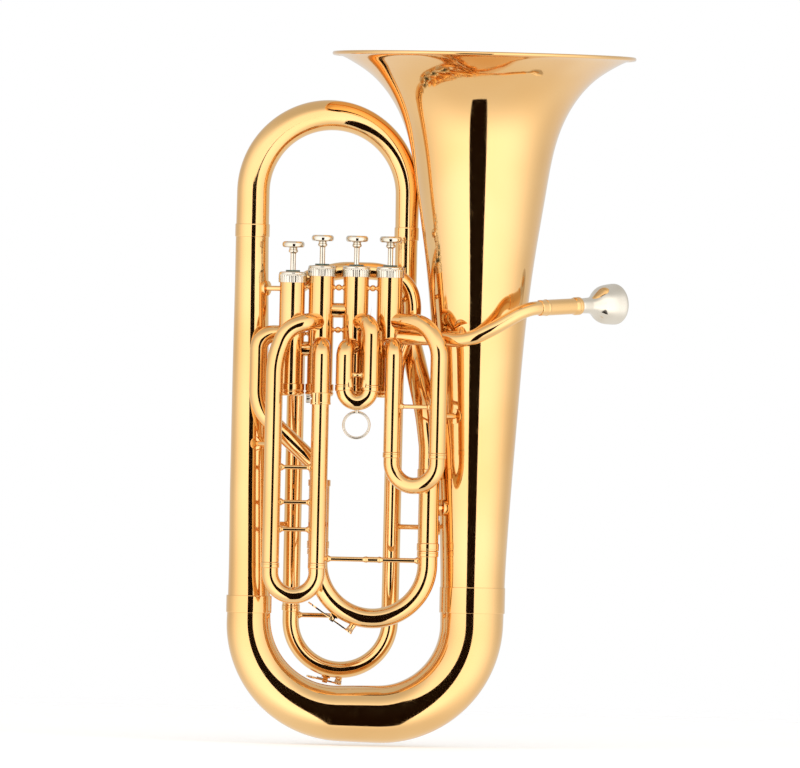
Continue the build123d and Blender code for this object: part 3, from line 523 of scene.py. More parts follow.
class Workshop:
    """Holds the trees and finishes, and makes pieces of them."""

    # how near a tube's start a point lies to be cut to the casing, along it and past its wall
    CUT_DEPTH = 0.3
    CUT_MARGIN = 0.5
    WELD = 1e-6
    FLAT = math.radians(0.5)
    EDGE = math.radians(40.0)

    def __init__(self, finishes: dict[Slot, bpy.types.Material]) -> None:
        """Sets up the trees.

        Args:
            finishes: The material for each slot.
        """
        self.finishes = finishes
        self.tubes = TubeTree()
        self.coin_edge = CoinEdgeTree()

    def draw(self, tubes: list[Tube], wall: float, sides: int, slot: Slot = Slot.BRASS) -> bpy.types.Mesh:
        """Draws tubes and gives them a wall.

        Args:
            tubes: The tubes, all of one wall.
            wall: The wall's thickness, or 0 for solid wire with open ends.
            sides: Facets round each tube.
            slot: Their finish.

        Returns:
            One mesh of all the tubes.
        """
        spots, edges, radii = [], [], []
        for tube in tubes:
            line, sizes = tube.centre_line()
            first = len(spots)
            spots.extend((line * MM).tolist())
            edges.extend((first + index, first + index + 1) for index in range(len(line) - 1))
            radii.extend(sizes * MM)
        mesh = bpy.data.meshes.new("centre_lines")
        mesh.from_pydata(spots, edges, [])
        mesh.attributes.new("tube_radius", "FLOAT", "POINT").data.foreach_set("value", radii)
        made = bpy.data.objects.new("tubes", mesh)
        bpy.context.scene.collection.objects.link(made)
        drawn = made.modifiers.new("drawn", "NODES")
        drawn.node_group = self.tubes.tree
        drawn[self.tubes.sides] = sides
        drawn[self.tubes.finish] = self.finishes[slot]
        if wall > 0:
            shell = made.modifiers.new("wall", "SOLIDIFY")
            shell.thickness, shell.offset, shell.use_even_offset = wall * MM, -1.0, True
        mesh = settled(made)
        for tube in tubes:
            if tube.socket:
                self.fit_to_casing(mesh, tube)
        return mesh

    def fit_to_casing(self, mesh: bpy.types.Mesh, tube: Tube) -> None:
        """Cuts the start of a tube to the round of its casing.

        Args:
            mesh: The mesh that holds the tube.
            tube: The tube, which names its casing's axis.
        """
        way = tube.route.legs[0][1]
        start = tube.route.spot(Tube.SOCKET_START)
        reach = tube.stations[0][1] + self.CUT_MARGIN
        for vertex in mesh.vertices:
            spot = np.array(vertex.co) / MM
            gap = spot - start
            along = float(gap @ way)
            if abs(along) > self.CUT_DEPTH or np.linalg.norm(gap - way * along) > reach:
                continue
            out = spot[:2] - np.array(tube.socket)
            half = float(out @ way[:2])
            root = half * half - float(out @ out) + Tube.SOCKET_WALL**2
            if root > 0:
                vertex.co = (spot + way * (math.sqrt(root) - half)) * MM

    def ribbed(self, blank: bpy.types.Object, slot: Slot, sizes: dict[str, float]) -> bpy.types.Mesh:
        """Presses a coin edge into a turned piece.

        Args:
            blank: The turned piece.
            slot: Its finish.
            sizes: The tree's inputs by name, in metres.

        Returns:
            The ribbed mesh.
        """
        pressed = blank.modifiers.new("ribs", "NODES")
        pressed.node_group = self.coin_edge.tree
        for name, size in sizes.items():
            pressed[self.coin_edge.inputs[name]] = float(size)
        pressed[self.coin_edge.finish] = self.finishes[slot]
        return settled(blank)

    def show(self, made: bpy.types.Object, body: str, slot: Slot, *nodes: str) -> bpy.types.Object:
        """Hangs a piece on its body in place of its nodes, and reports it.

        Args:
            made: The piece.
            body: The body that it moves with.
            slot: Its finish; not used.
            nodes: The nodes of the frame that it stands for.

        Returns:
            The piece.
        """
        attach(made, body)
        if nodes:
            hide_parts(*nodes)
        log.info("%s on %s: %d faces", made.name, body, len(made.data.polygons))
        return made

    def stock(self, name: str, stock: Stock, body: str, slot: Slot, *nodes: str) -> bpy.types.Object:
        """Makes a piece of a stock and hangs it on its body."""
        return self.show(stock.piece(name, self.finishes[slot]), body, slot, *nodes)

    def carried(self, name: str, node: str, body: str, slot: Slot, soften: float = 0.0) -> bpy.types.Object:
        """Carries a node over with its edges merged and softened.

        Args:
            name: What the new piece is called.
            node: The node it is a copy of.
            body: The body that it moves with.
            slot: Its finish.
            soften: Width of the rounding on its edges.

        Returns:
            The piece.
        """
        copy = bpy.data.objects.new(name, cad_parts[node].data.copy())
        bpy.context.scene.collection.objects.link(copy)
        weld = copy.modifiers.new("merged", "WELD")
        weld.merge_threshold = self.WELD
        flat = copy.modifiers.new("plain_faces", "DECIMATE")
        flat.decimate_type, flat.angle_limit = "DISSOLVE", self.FLAT
        if soften > 0:
            bevel = copy.modifiers.new("soft_edges", "BEVEL")
            bevel.width, bevel.segments = soften * MM, 2
            bevel.limit_method, bevel.angle_limit = "ANGLE", self.EDGE
            bevel.use_clamp_overlap = True
        mesh = settled(copy)
        mesh.name = name
        mesh.materials.clear()
        mesh.materials.append(self.finishes[slot])
        mesh.shade_smooth()
        mesh.set_sharp_from_angle(angle=CREASE)
        made = bpy.data.objects.new(name, mesh)
        bpy.context.scene.collection.objects.link(made)
        return self.show(made, body, slot, node)


# ---------------------------------------------------------------- finishes
class Graph:
    """A shader tree with short ways to add and join nodes."""

    def __init__(self, tree: bpy.types.NodeTree) -> None:
        """Wraps a tree."""
        self.tree = tree

    def node(self, kind: str, links: dict | None = None, **settings: object) -> bpy.types.Node:
        """Adds a node.

        Args:
            kind: The node's type.
            links: What goes into each input: a socket, or a value.
            settings: The node's own settings.

        Returns:
            The node.
        """
        made = self.tree.nodes.new(kind)
        for name, value in settings.items():
            setattr(made, name, value)
        for name, value in (links or {}).items():
            if isinstance(value, bpy.types.NodeSocket):
                self.tree.links.new(value, made.inputs[name])
            else:
                made.inputs[name].default_value = value
        return made

    def noise(
        self, where: bpy.types.NodeSocket, scale: object, detail: float, rough: float
    ) -> bpy.types.NodeSocket:
        """A noise texture's value."""
        links = {"Vector": where, "Scale": scale, "Detail": detail, "Roughness": rough}
        return self.node("ShaderNodeTexNoise", links).outputs["Fac"]

    def ramp(
        self, value: bpy.types.NodeSocket, low: float, high: float, start: float = 0.0, end: float = 1.0
    ) -> bpy.types.NodeSocket:
        """A value moved from one range to another, smoothly and within bounds."""
        links = {"Value": value, "From Min": low, "From Max": high, "To Min": start, "To Max": end}
        return self.node("ShaderNodeMapRange", links, interpolation_type="SMOOTHSTEP").outputs["Result"]

    def math(self, operation: str, first: object, second: object = 0.0) -> bpy.types.NodeSocket:
        """A node of arithmetic's result."""
        return self.node("ShaderNodeMath", {0: first, 1: second}, operation=operation).outputs[0]

    def mix(self, share: bpy.types.NodeSocket, first: Colour, second: Colour) -> bpy.types.NodeSocket:
        """A colour between two."""
        links = {0: share, 6: (*first, 1.0), 7: (*second, 1.0)}
        return self.node("ShaderNodeMix", links, data_type="RGBA").outputs[2]

    def bump(self, height: bpy.types.NodeSocket, depth: float) -> bpy.types.NodeSocket:
        """A normal that a height pushes about."""
        links = {"Height": height, "Strength": 1.0, "Distance": depth}
        return self.node("ShaderNodeBump", links).outputs["Normal"]


class HandlingGroup:
    """What years of hands leave on plate: a slow drift of tone, and fine hairlines.

    Each stroke is how a set of hairlines is turned, in radians, and how it is stretched.
    """

    STROKES = (
        ((0.0, 0.0, 0.3), (1.0, 9.0, 0.35)),
        ((0.5, 0.2, 1.1), (8.0, 0.6, 1.0)),
        ((1.2, 0.9, 0.2), (0.8, 7.0, 5.0)),
    )

    def __init__(self) -> None:
        """Builds the group."""
        tree = bpy.data.node_groups.new("handling", "ShaderNodeTree")
        add_socket(tree, "Vector", "NodeSocketVector")
        for name in ("Tone Scale", "Hairline Scale"):
            add_socket(tree, name, "NodeSocketFloat")
        for name in ("Tone", "Smears", "Hairlines"):
            add_socket(tree, name, "NodeSocketFloat", "OUTPUT")
        graph = Graph(tree)
        come, go = tree.nodes.new("NodeGroupInput"), tree.nodes.new("NodeGroupOutput")
        where, scale, fine = (come.outputs[name] for name in ("Vector", "Tone Scale", "Hairline Scale"))
        tone = graph.ramp(graph.noise(where, scale, 2.0, 0.5), 0.32, 0.7)
        smears = graph.ramp(graph.noise(where, graph.math("MULTIPLY", scale, 3.7), 5.0, 0.62), 0.42, 0.72)
        lines = []
        for turn, stretch in self.STROKES:
            laid = graph.node("ShaderNodeMapping", {"Vector": where, "Rotation": turn, "Scale": stretch})
            lines.append(graph.ramp(graph.noise(laid.outputs["Vector"], fine, 2.0, 0.45), 0.61, 0.72))
        hair = graph.math("MAXIMUM", graph.math("MAXIMUM", lines[0], lines[1]), lines[2])
        for name, value in (("Tone", tone), ("Smears", smears), ("Hairlines", hair)):
            tree.links.new(value, go.inputs[name])
        self.tree = tree


class PeelGroup:
    """The faint waviness of hammered sheet and of sprayed lacquer, as a height."""

    def __init__(self) -> None:
        """Builds the group."""
        tree = bpy.data.node_groups.new("lacquer_peel", "ShaderNodeTree")
        add_socket(tree, "Vector", "NodeSocketVector")
        for name in ("Wave Scale", "Peel Scale", "Peel Share"):
            add_socket(tree, name, "NodeSocketFloat")
        add_socket(tree, "Height", "NodeSocketFloat", "OUTPUT")
        graph = Graph(tree)
        come, go = tree.nodes.new("NodeGroupInput"), tree.nodes.new("NodeGroupOutput")
        where = come.outputs["Vector"]
        wave = graph.noise(where, come.outputs["Wave Scale"], 1.0, 0.4)
        peel = graph.noise(where, come.outputs["Peel Scale"], 2.0, 0.5)
        height = graph.math("ADD", wave, graph.math("MULTIPLY", peel, come.outputs["Peel Share"]))
        tree.links.new(height, go.inputs["Height"])
        self.tree = tree


@dataclass(frozen=True)
class MetalFinish:
    """A polished metal, bare, plated or lacquered."""

    name: str
    bright: Colour
    deep: Colour
    smooth: float
    smeared: float
    tone_scale: float = 9.0
    hairline_scale: float = 160.0
    wave_scale: float = 26.0
    peel_scale: float = 900.0
    peel_share: float = 0.02
    wave_depth: float = 0.00006
    coat: float = 0.0
    coat_roughness: float = 0.04
    hairline_roughness: float = 0.05

    def build(self, handling: HandlingGroup, peel: PeelGroup) -> bpy.types.Material:
        """Makes the material.

        Args:
            handling: The group that gives tone, smears and hairlines.
            peel: The group that gives the surface's height.

        Returns:
            The material.
        """
        material = bpy.data.materials.new(self.name)
        material.use_nodes = True
        tree = material.node_tree
        graph, shader = Graph(tree), tree.nodes["Principled BSDF"]
        where = graph.node("ShaderNodeTexCoord").outputs["Object"]
        worn = graph.node("ShaderNodeGroup", node_tree=handling.tree)
        relief = graph.node("ShaderNodeGroup", node_tree=peel.tree)
        tree.links.new(where, worn.inputs["Vector"])
        tree.links.new(where, relief.inputs["Vector"])
        worn.inputs["Tone Scale"].default_value = self.tone_scale
        worn.inputs["Hairline Scale"].default_value = self.hairline_scale
        relief.inputs["Wave Scale"].default_value = self.wave_scale
        relief.inputs["Peel Scale"].default_value = self.peel_scale
        relief.inputs["Peel Share"].default_value = self.peel_share
        tone = graph.mix(worn.outputs["Tone"], self.bright, self.deep)
        tree.links.new(tone, shader.inputs["Base Color"])
        rough = graph.math("MULTIPLY", worn.outputs["Smears"], self.smeared - self.smooth)
        hair = graph.math("MULTIPLY", worn.outputs["Hairlines"], self.hairline_roughness)
        rough = graph.math("ADD", rough, hair)
        tree.links.new(graph.math("ADD", rough, self.smooth), shader.inputs["Roughness"])
        tree.links.new(graph.bump(relief.outputs["Height"], self.wave_depth), shader.inputs["Normal"])
        shader.inputs["Metallic"].default_value = 1.0
        if self.coat > 0:
            shader.inputs["Coat Weight"].default_value = self.coat
            shader.inputs["Coat Roughness"].default_value = self.coat_roughness
            shader.inputs["Coat IOR"].default_value = 1.5
        return material


@dataclass(frozen=True)
class SoftFinish:
    """Felt or cork: matt, with a grain."""

    name: str
    light: Colour
    dark: Colour
    grain: float
    depth: float
    sheen: float = 0.0

    def build(self, peel: PeelGroup) -> bpy.types.Material:
        """Makes the material.

        Args:
            peel: The group that gives the surface's height.

        Returns:
            The material.
        """
        material = bpy.data.materials.new(self.name)
        material.use_nodes = True
        tree = material.node_tree
        graph, shader = Graph(tree), tree.nodes["Principled BSDF"]
        where = graph.node("ShaderNodeTexCoord").outputs["Object"]
        speck = graph.ramp(graph.noise(where, self.grain, 6.0, 0.7), 0.38, 0.62)
        tree.links.new(graph.mix(speck, self.light, self.dark), shader.inputs["Base Color"])
        relief = graph.node("ShaderNodeGroup", node_tree=peel.tree)
        tree.links.new(where, relief.inputs["Vector"])
        for name, value in (("Wave Scale", self.grain), ("Peel Scale", self.grain * 3), ("Peel Share", 0.6)):
            relief.inputs[name].default_value = value
        tree.links.new(graph.bump(relief.outputs["Height"], self.depth), shader.inputs["Normal"])
        tree.links.new(graph.ramp(speck, 0.0, 1.0, 0.82, 0.95), shader.inputs["Roughness"])
        if self.sheen > 0:
            shader.inputs["Sheen Weight"].default_value = self.sheen
        return material


def make_finishes() -> dict[Slot, bpy.types.Material]:
    """Builds every finish, by slot."""
    handling, peel = HandlingGroup(), PeelGroup()
    metals = {
        Slot.BRASS: MetalFinish(
            "gold_lacquered_brass", (0.90, 0.582, 0.262), (0.84, 0.505, 0.20), 0.05, 0.09, coat=0.25
        ),
        Slot.NICKEL: MetalFinish(
            "silver_plate", (0.80, 0.75, 0.66), (0.70, 0.63, 0.52), 0.07, 0.15,
            tone_scale=30.0, wave_depth=0.00002,
        ),
        Slot.PISTON: MetalFinish(
            "lapped_piston_plate", (0.66, 0.65, 0.62), (0.56, 0.54, 0.50), 0.16, 0.28,
            tone_scale=40.0, wave_depth=0.00001,
        ),
        Slot.SPRING: MetalFinish(
            "blued_spring_wire", (0.42, 0.40, 0.37), (0.30, 0.27, 0.24), 0.24, 0.38,
            tone_scale=60.0, wave_depth=0.00001,
        ),
    }
    soft = {
        Slot.FELT: SoftFinish("pressed_felt", (0.10, 0.13, 0.10), (0.04, 0.06, 0.045), 900.0, 0.0003, 0.4),
        Slot.CORK: SoftFinish("pressed_cork", (0.58, 0.38, 0.21), (0.30, 0.17, 0.08), 700.0, 0.0002),
    }
    made = {slot: finish.build(handling, peel) for slot, finish in metals.items()}
    made.update({slot: finish.build(peel) for slot, finish in soft.items()})
    return made


# ---------------------------------------------------------------- the big bore
@dataclass
class BigBore:
    """Bell, bows and branches: the widening tube from the tuning slide to the rim.

    The flare is radii at depths below the rim. The bows' sizes are radii at shares of their
    length, and the branch's are its height, its axis and its radius.
    """

    bell_x: float = 109.5
    rim_z: float = 637.0
    rim_radius: float = 140.0
    bell_foot: float = 145.0
    sheet: float = 0.8
    bead: float = 1.9
    branch_x: float = -96.0
    branch_foot: float = 126.0
    floor_z: float = 27.0
    bow_bend: float = 85.0
    top_foot: float = 470.0
    top_spring: float = 506.0
    top_left: tuple[float, float] = (-100.5, 0.0)
    top_right: tuple[float, float] = (41.5, 22.0)
    main_radius: float = 10.3
    flare: tuple = (
        (29.6, 492.0), (33.2, 410.0), (38.2, 328.0), (43.4, 253.0), (50.2, 190.0), (59.6, 126.0),
        (72.0, 68.0), (88.9, 36.7), (105.0, 20.0), (121.4, 9.3), (138.1, 2.6),
    )
    bow_sizes: tuple = (
        (0.0, 29.6), (0.22, 28.3), (0.40, 27.0), (0.55, 25.9), (0.72, 23.6), (0.86, 21.4), (1.0, 19.7),
    )
    top_sizes: tuple = ((0.0, 15.2), (0.3, 14.7), (0.5, 13.9), (0.7, 12.2), (0.85, 11.1), (1.0, 10.6))
    branch_sizes: tuple = (
        (126.0, -96.0, 19.7), (138.0, -96.2, 19.3), (230.0, -98.0, 18.0),
        (330.0, -99.2, 16.8), (458.0, -100.5, 15.25), (470.0, -100.5, 15.2),
    )
    flare_rings: int = 130
    branch_rings: int = 60
    rim_facets: int = 28
    rim_flat: float = 0.25
    bell_sides: int = 192
    bow_sides: int = 128
    branch_sides: int = 96
    main_sides: int = 72

    def build(self, shop: Workshop) -> None:
        """Makes and hangs every piece of the big bore."""
        self.bell(shop)
        self.rim(shop)
        self.bottom_bow(shop)
        self.branch(shop)
        self.top_bow(shop)
        self.main_branch(shop)
        self.ferrules(shop)

    def bell(self, shop: Workshop) -> None:
        """The spun bell, with its wall."""
        stations = [(radius, self.rim_z - depth) for radius, depth in self.flare]
        outside = curved(stations, (0.02, 1), (1, 0.12), self.flare_rings)
        runs = np.gradient(outside, axis=0)
        runs /= np.linalg.norm(runs, axis=1)[:, None]
        inside = outside + np.stack((-runs[:, 1], runs[:, 0]), axis=1) * self.sheet
        profile = np.concatenate((outside, inside[::-1]))
        stock = Stock()
        stock.turned(profile, vec(self.bell_x, 0, 0), UP, self.bell_sides, loop=True)
        shop.stock("bell_flare", stock, "horn", Slot.BRASS, "bell")

    def rim(self, shop: Workshop) -> None:
        """The wire rolled into the rim, with a faint flat on top."""
        angles = np.linspace(-math.pi / 2, 1.5 * math.pi, self.rim_facets + 1)[:-1]
        ring = np.stack((np.cos(angles), np.sin(angles)), axis=1) * self.bead
        ring[:, 1] = np.minimum(ring[:, 1], self.bead - self.rim_flat)
        ring += (self.rim_radius - self.bead, self.rim_z - self.bead)
        stock = Stock()
        stock.turned(ring, vec(self.bell_x, 0, 0), UP, self.bell_sides, loop=True)
        shop.stock("rolled_rim", stock, "horn", Slot.BRASS, "bell_rim_bead")

    def bottom_bow(self, shop: Workshop) -> None:
        """The big bow at the bottom."""
        route = Route.bent(
            [(self.bell_x, 0, self.bell_foot), (self.bell_x, 0, self.floor_z),
             (self.branch_x, 0, self.floor_z), (self.branch_x, 0, self.branch_foot)],
            [self.bow_bend],
        )
        stations = [(share * route.length, radius) for share, radius in self.bow_sizes]
        stock = Stock()
        stock.put_mesh(shop.draw([Tube(route, stations, eased=True)], self.sheet, self.bow_sides))
        shop.stock("great_bow", stock, "horn", Slot.BRASS, "bottom_bow")

    def branch(self, shop: Workshop) -> None:
        """The left branch, straight on its outer side."""
        count, sides = self.branch_rings, self.branch_sides
        heights = np.linspace(self.branch_foot, self.top_foot, count)
        levels, centres, radii = np.array(self.branch_sizes).T
        outer = eased(list(zip(levels, radii)), heights)
        middle = np.interp(heights, levels, centres)
        angles = np.arange(sides) * (2 * math.pi / sides)
        rings = []
        for cut, order in ((0.0, range(count)), (self.sheet, reversed(range(count)))):
            for index in order:
                reach = outer[index] - cut
                across, level = middle[index] + reach * np.cos(angles), np.full(sides, heights[index])
                rings.append(np.stack((across, reach * np.sin(angles), level), axis=1))
        faces = []
        for low in range(len(rings)):
            high = (low + 1) % len(rings)
            for side in range(sides):
                after = (side + 1) % sides
                corners = ((low, side), (low, after), (high, after), (high, side))
                faces.append(tuple(ring * sides + spot for ring, spot in corners))
        stock = Stock()
        stock.put(np.concatenate(rings), faces)
        shop.stock("long_branch", stock, "horn", Slot.BRASS, "left_branch")

    def top_bow(self, shop: Workshop) -> None:
        """The bow over the valves."""
        left, right = vec(*self.top_left, self.top_foot), vec(*self.top_right, self.top_foot)
        span = right - left
        reach = float(np.linalg.norm(span)) / 2
        rise = UP * (self.top_spring - self.top_foot)
        route = Route().run(left, left + rise)
        route.arc(left + rise, UP, unit(span), reach, math.pi)
        route.run(right + rise, right)
        stations = [(share * route.length, radius) for share, radius in self.top_sizes]
        stock = Stock()
        stock.put_mesh(shop.draw([Tube(route, stations, eased=True)], self.sheet, self.branch_sides))
        shop.stock("small_bow", stock, "horn", Slot.BRASS, "top_bow")

    def main_branch(self, shop: Workshop) -> None:
        """The branch from the tuning slide up to the small bow."""
        route = Route.bent(
            [(*self.top_right, self.top_foot), (*self.top_right, 386), (50.0, 20.5, 360),
             (63.5, -19.0, 304), (67.5, -22, 274), (67.5, -22, 244)],
            [60, 55, 55, 60],
        )
        stock = Stock()
        stock.put_mesh(shop.draw([plain(route, self.main_radius)], self.sheet, self.main_sides))
        shop.stock("short_branch", stock, "horn", Slot.BRASS, "main_branch")

    def ferrules(self, shop: Workshop) -> None:
        """The sleeves over the joints."""
        for name, node, spots in (
            ("bell_sleeve", "bell_ferrule", [(self.bell_x, 0.0, 122.0, 146.0, 30.2, 28.9)]),
            ("branch_sleeve", "branch_ferrule", [(self.branch_x, 0.0, 118.0, 134.0, 20.9, 19.4)]),
            ("small_bow_sleeves", "top_bow_ferrules", [
                (*self.top_left, 464.0, 476.0, 15.9, 15.0), (*self.top_right, 464.0, 476.0, 11.3, 10.2)]),
        ):
            stock = Stock()
            for x, y, low, high, outer, inner in spots:
                profile = rounded(
                    [(inner, low), (outer - 0.25, low), (outer, low + 0.7),
                     (outer, high - 0.7), (outer - 0.25, high), (inner, high)], 0.25, 3
                )
                stock.turned(profile, vec(x, y, 0), UP, self.branch_sides, loop=True)
            shop.stock(name, stock, "horn", Slot.BRASS, node)


# ---------------------------------------------------------------- valves
@dataclass
class ValveBlock:
    """Four casings in a row, with their caps, stems and buttons."""

    y: float = -22.0
    xs: tuple = (27.1, -3.9, -35.5, -62.3)
    tops: tuple = (439.0, 439.0, 439.0, 432.6)
    casing: float = 11.75
    wall: float = 1.25
    foot: float = 320.5
    cap: float = 13.0
    ribs: int = 36
    rib_depth: float = 0.38
    stem: float = 2.5
    button: float = 10.25
    sides: int = 96
    stay: float = 1.6
    ball: float = 3.0
    stay_levels: tuple = ((419.0, 380.0), (419.0, 380.0), (419.0, 376.0))

    def build(self, shop: Workshop) -> None:
        """Makes and hangs every piece of the valve block."""
        for number, (x, top) in enumerate(zip(self.xs, self.tops), 1):
            self.casing_piece(shop, number, x, top)
            self.button_piece(shop, number, x, top)
            shop.carried(f"piston_barrel_{number}", f"piston_{number}", f"valve_{number}", Slot.PISTON)
            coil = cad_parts[f"valve_spring_{number}"]
            coil.data.materials.clear()
            coil.data.materials.append(shop.finishes[Slot.SPRING])
            log.info("valve_spring_%d keeps its coil, in spring wire", number)
        self.top_caps(shop)
        self.bottom_caps(shop)
        self.felts(shop)
        shop.carried("casing_links", "valve_links", "horn", Slot.BRASS)
        self.stays(shop)

    def casing_piece(self, shop: Workshop, number: int, x: float, top: float) -> None:
        """One casing, a drawn barrel with a bore."""
        high = top - 3.0
        bore = self.casing - self.wall
        outline = [(bore, self.foot), (self.casing, self.foot), (self.casing, high), (bore, high)]
        stock = Stock()
        stock.turned(rounded(outline, 0.2, 2), vec(x, self.y, 0), UP, self.sides, loop=True)
        shop.stock(f"casing_barrel_{number}", stock, "horn", Slot.BRASS, f"valve_casing_{number}")

    def button_piece(self, shop: Workshop, number: int, x: float, top: float) -> None:
        """A stem with its collar and a dished finger button."""
        disc = [
            (0, -8.6), (self.stem, -8.6), (self.stem, 16.6), (3.1, 17.4), (4.4, 18.2), (4.4, 19.6),
            (3.7, 20.6), (3.7, 21.6), (5.2, 22.4), (9.3, 22.4), (self.button, 24.0), (self.button, 26.4),
            (8.9, 28.0), (7.5, 28.0), (7.1, 27.5), (0, 27.5),
        ]
        stock = Stock()
        stock.turned(rounded(disc, 0.9, 5), vec(x, self.y, top), UP, 72)
        name, node = f"stem_and_button_{number}", f"valve_button_{number}"
        shop.stock(name, stock, f"valve_{number}", Slot.NICKEL, node)

    def top_caps(self, shop: Workshop) -> None:
        """The screw caps on top, each with a coin edge."""
        whole = Stock()
        for x, top in zip(self.xs, self.tops):
            low = top - 10.0
            hole = self.stem + 0.3
            profile = rounded(
                [(self.casing, low), (self.cap, low), (self.cap, top - 2.6), (12.6, top - 2.0),
                 (12.6, top - 0.9), (11.6, top), (hole, top), (hole, top - 3), (self.casing, top - 3)],
                0.35, 3,
            )
            rim = np.array([(self.cap, low + 0.4 + step * 0.75) for step in range(1, 9)])
            split = int(np.argmax((np.abs(profile[:, 0] - self.cap) < 1e-6) & (profile[:, 1] > low + 0.3)))
            profile = np.concatenate((profile[:split], rim[rim[:, 1] < top - 3.0], profile[split:]))
            blank = Stock()
            blank.turned(profile, vec(x, self.y, 0), UP, self.ribs * 8, loop=True)
            sizes = {
                "Centre X": x * MM, "Centre Y": self.y * MM, "Ribs": self.ribs, "Depth": self.rib_depth * MM,
                "Low": (low + 0.5) * MM, "High": (top - 2.9) * MM, "Inner Radius": (self.cap - 0.3) * MM,
            }
            turned = blank.piece("cap_blank", shop.finishes[Slot.NICKEL])
            whole.put_mesh(shop.ribbed(turned, Slot.NICKEL, sizes))
        shop.stock("coin_edged_caps", whole, "horn", Slot.NICKEL, "top_caps")

    def bottom_caps(self, shop: Workshop) -> None:
        """The caps under the casings, with a turned bead and a breather hole."""
        stock = Stock()
        for x in self.xs:
            low = self.foot - 2.0
            profile = rounded(
                [(2.0, low), (10.8, low), (12.2, low + 0.8), (self.cap, low + 2.4), (self.cap, low + 3.8),
                 (12.4, low + 4.3), (12.4, low + 5.0), (self.cap, low + 5.5), (self.cap, low + 11.1),
                 (12.6, low + 11.5), (self.casing, low + 11.5), (self.casing, self.foot), (2.0, self.foot)],
                0.45, 4,
            )
            stock.turned(profile, vec(x, self.y, 0), UP, self.sides, loop=True)
        shop.stock("turned_bottom_caps", stock, "horn", Slot.BRASS, "bottom_caps")

    def felts(self, shop: Workshop) -> None:
        """The felt rings that stop the buttons."""
        stock = Stock()
        for x, top in zip(self.xs, self.tops):
            profile = rounded([(2.95, top), (6.6, top), (6.6, top + 1.6), (2.95, top + 1.6)], 0.5, 4)
            stock.turned(profile, vec(x, self.y, 0), UP, 48, loop=True)
        shop.stock("felt_rings", stock, "horn", Slot.FELT, "cap_felts")

    def stays(self, shop: Workshop) -> None:
        """The stays between the casings, with a ball where two casings stand wide."""
        stock = Stock()
        thin, foot = self.stay, self.ball
        for index, (right, left) in enumerate(zip(self.xs, self.xs[1:])):
            reach = (right - left) / 2 - self.casing + 0.6
            turns = np.linspace(-1.0, 1.0, 13) if index < 2 else ()
            ball = [(self.ball * math.cos(turn), self.ball * math.sin(turn)) for turn in turns]
            outline = (
                [(0, -reach), (foot, -reach), (foot - 0.4, -reach + 0.9), (thin, -reach + 1.2)]
                + ball
                + [(thin, reach - 1.2), (foot - 0.4, reach - 0.9), (foot, reach), (0, reach)]
            )
            for level in self.stay_levels[index]:
                middle = vec((right + left) / 2, self.y, level)
                stock.turned(rounded(outline, 0.2, 2), middle, vec(1, 0, 0), 40)
        shop.stock("ball_stays", stock, "horn", Slot.BRASS, "valve_stays")


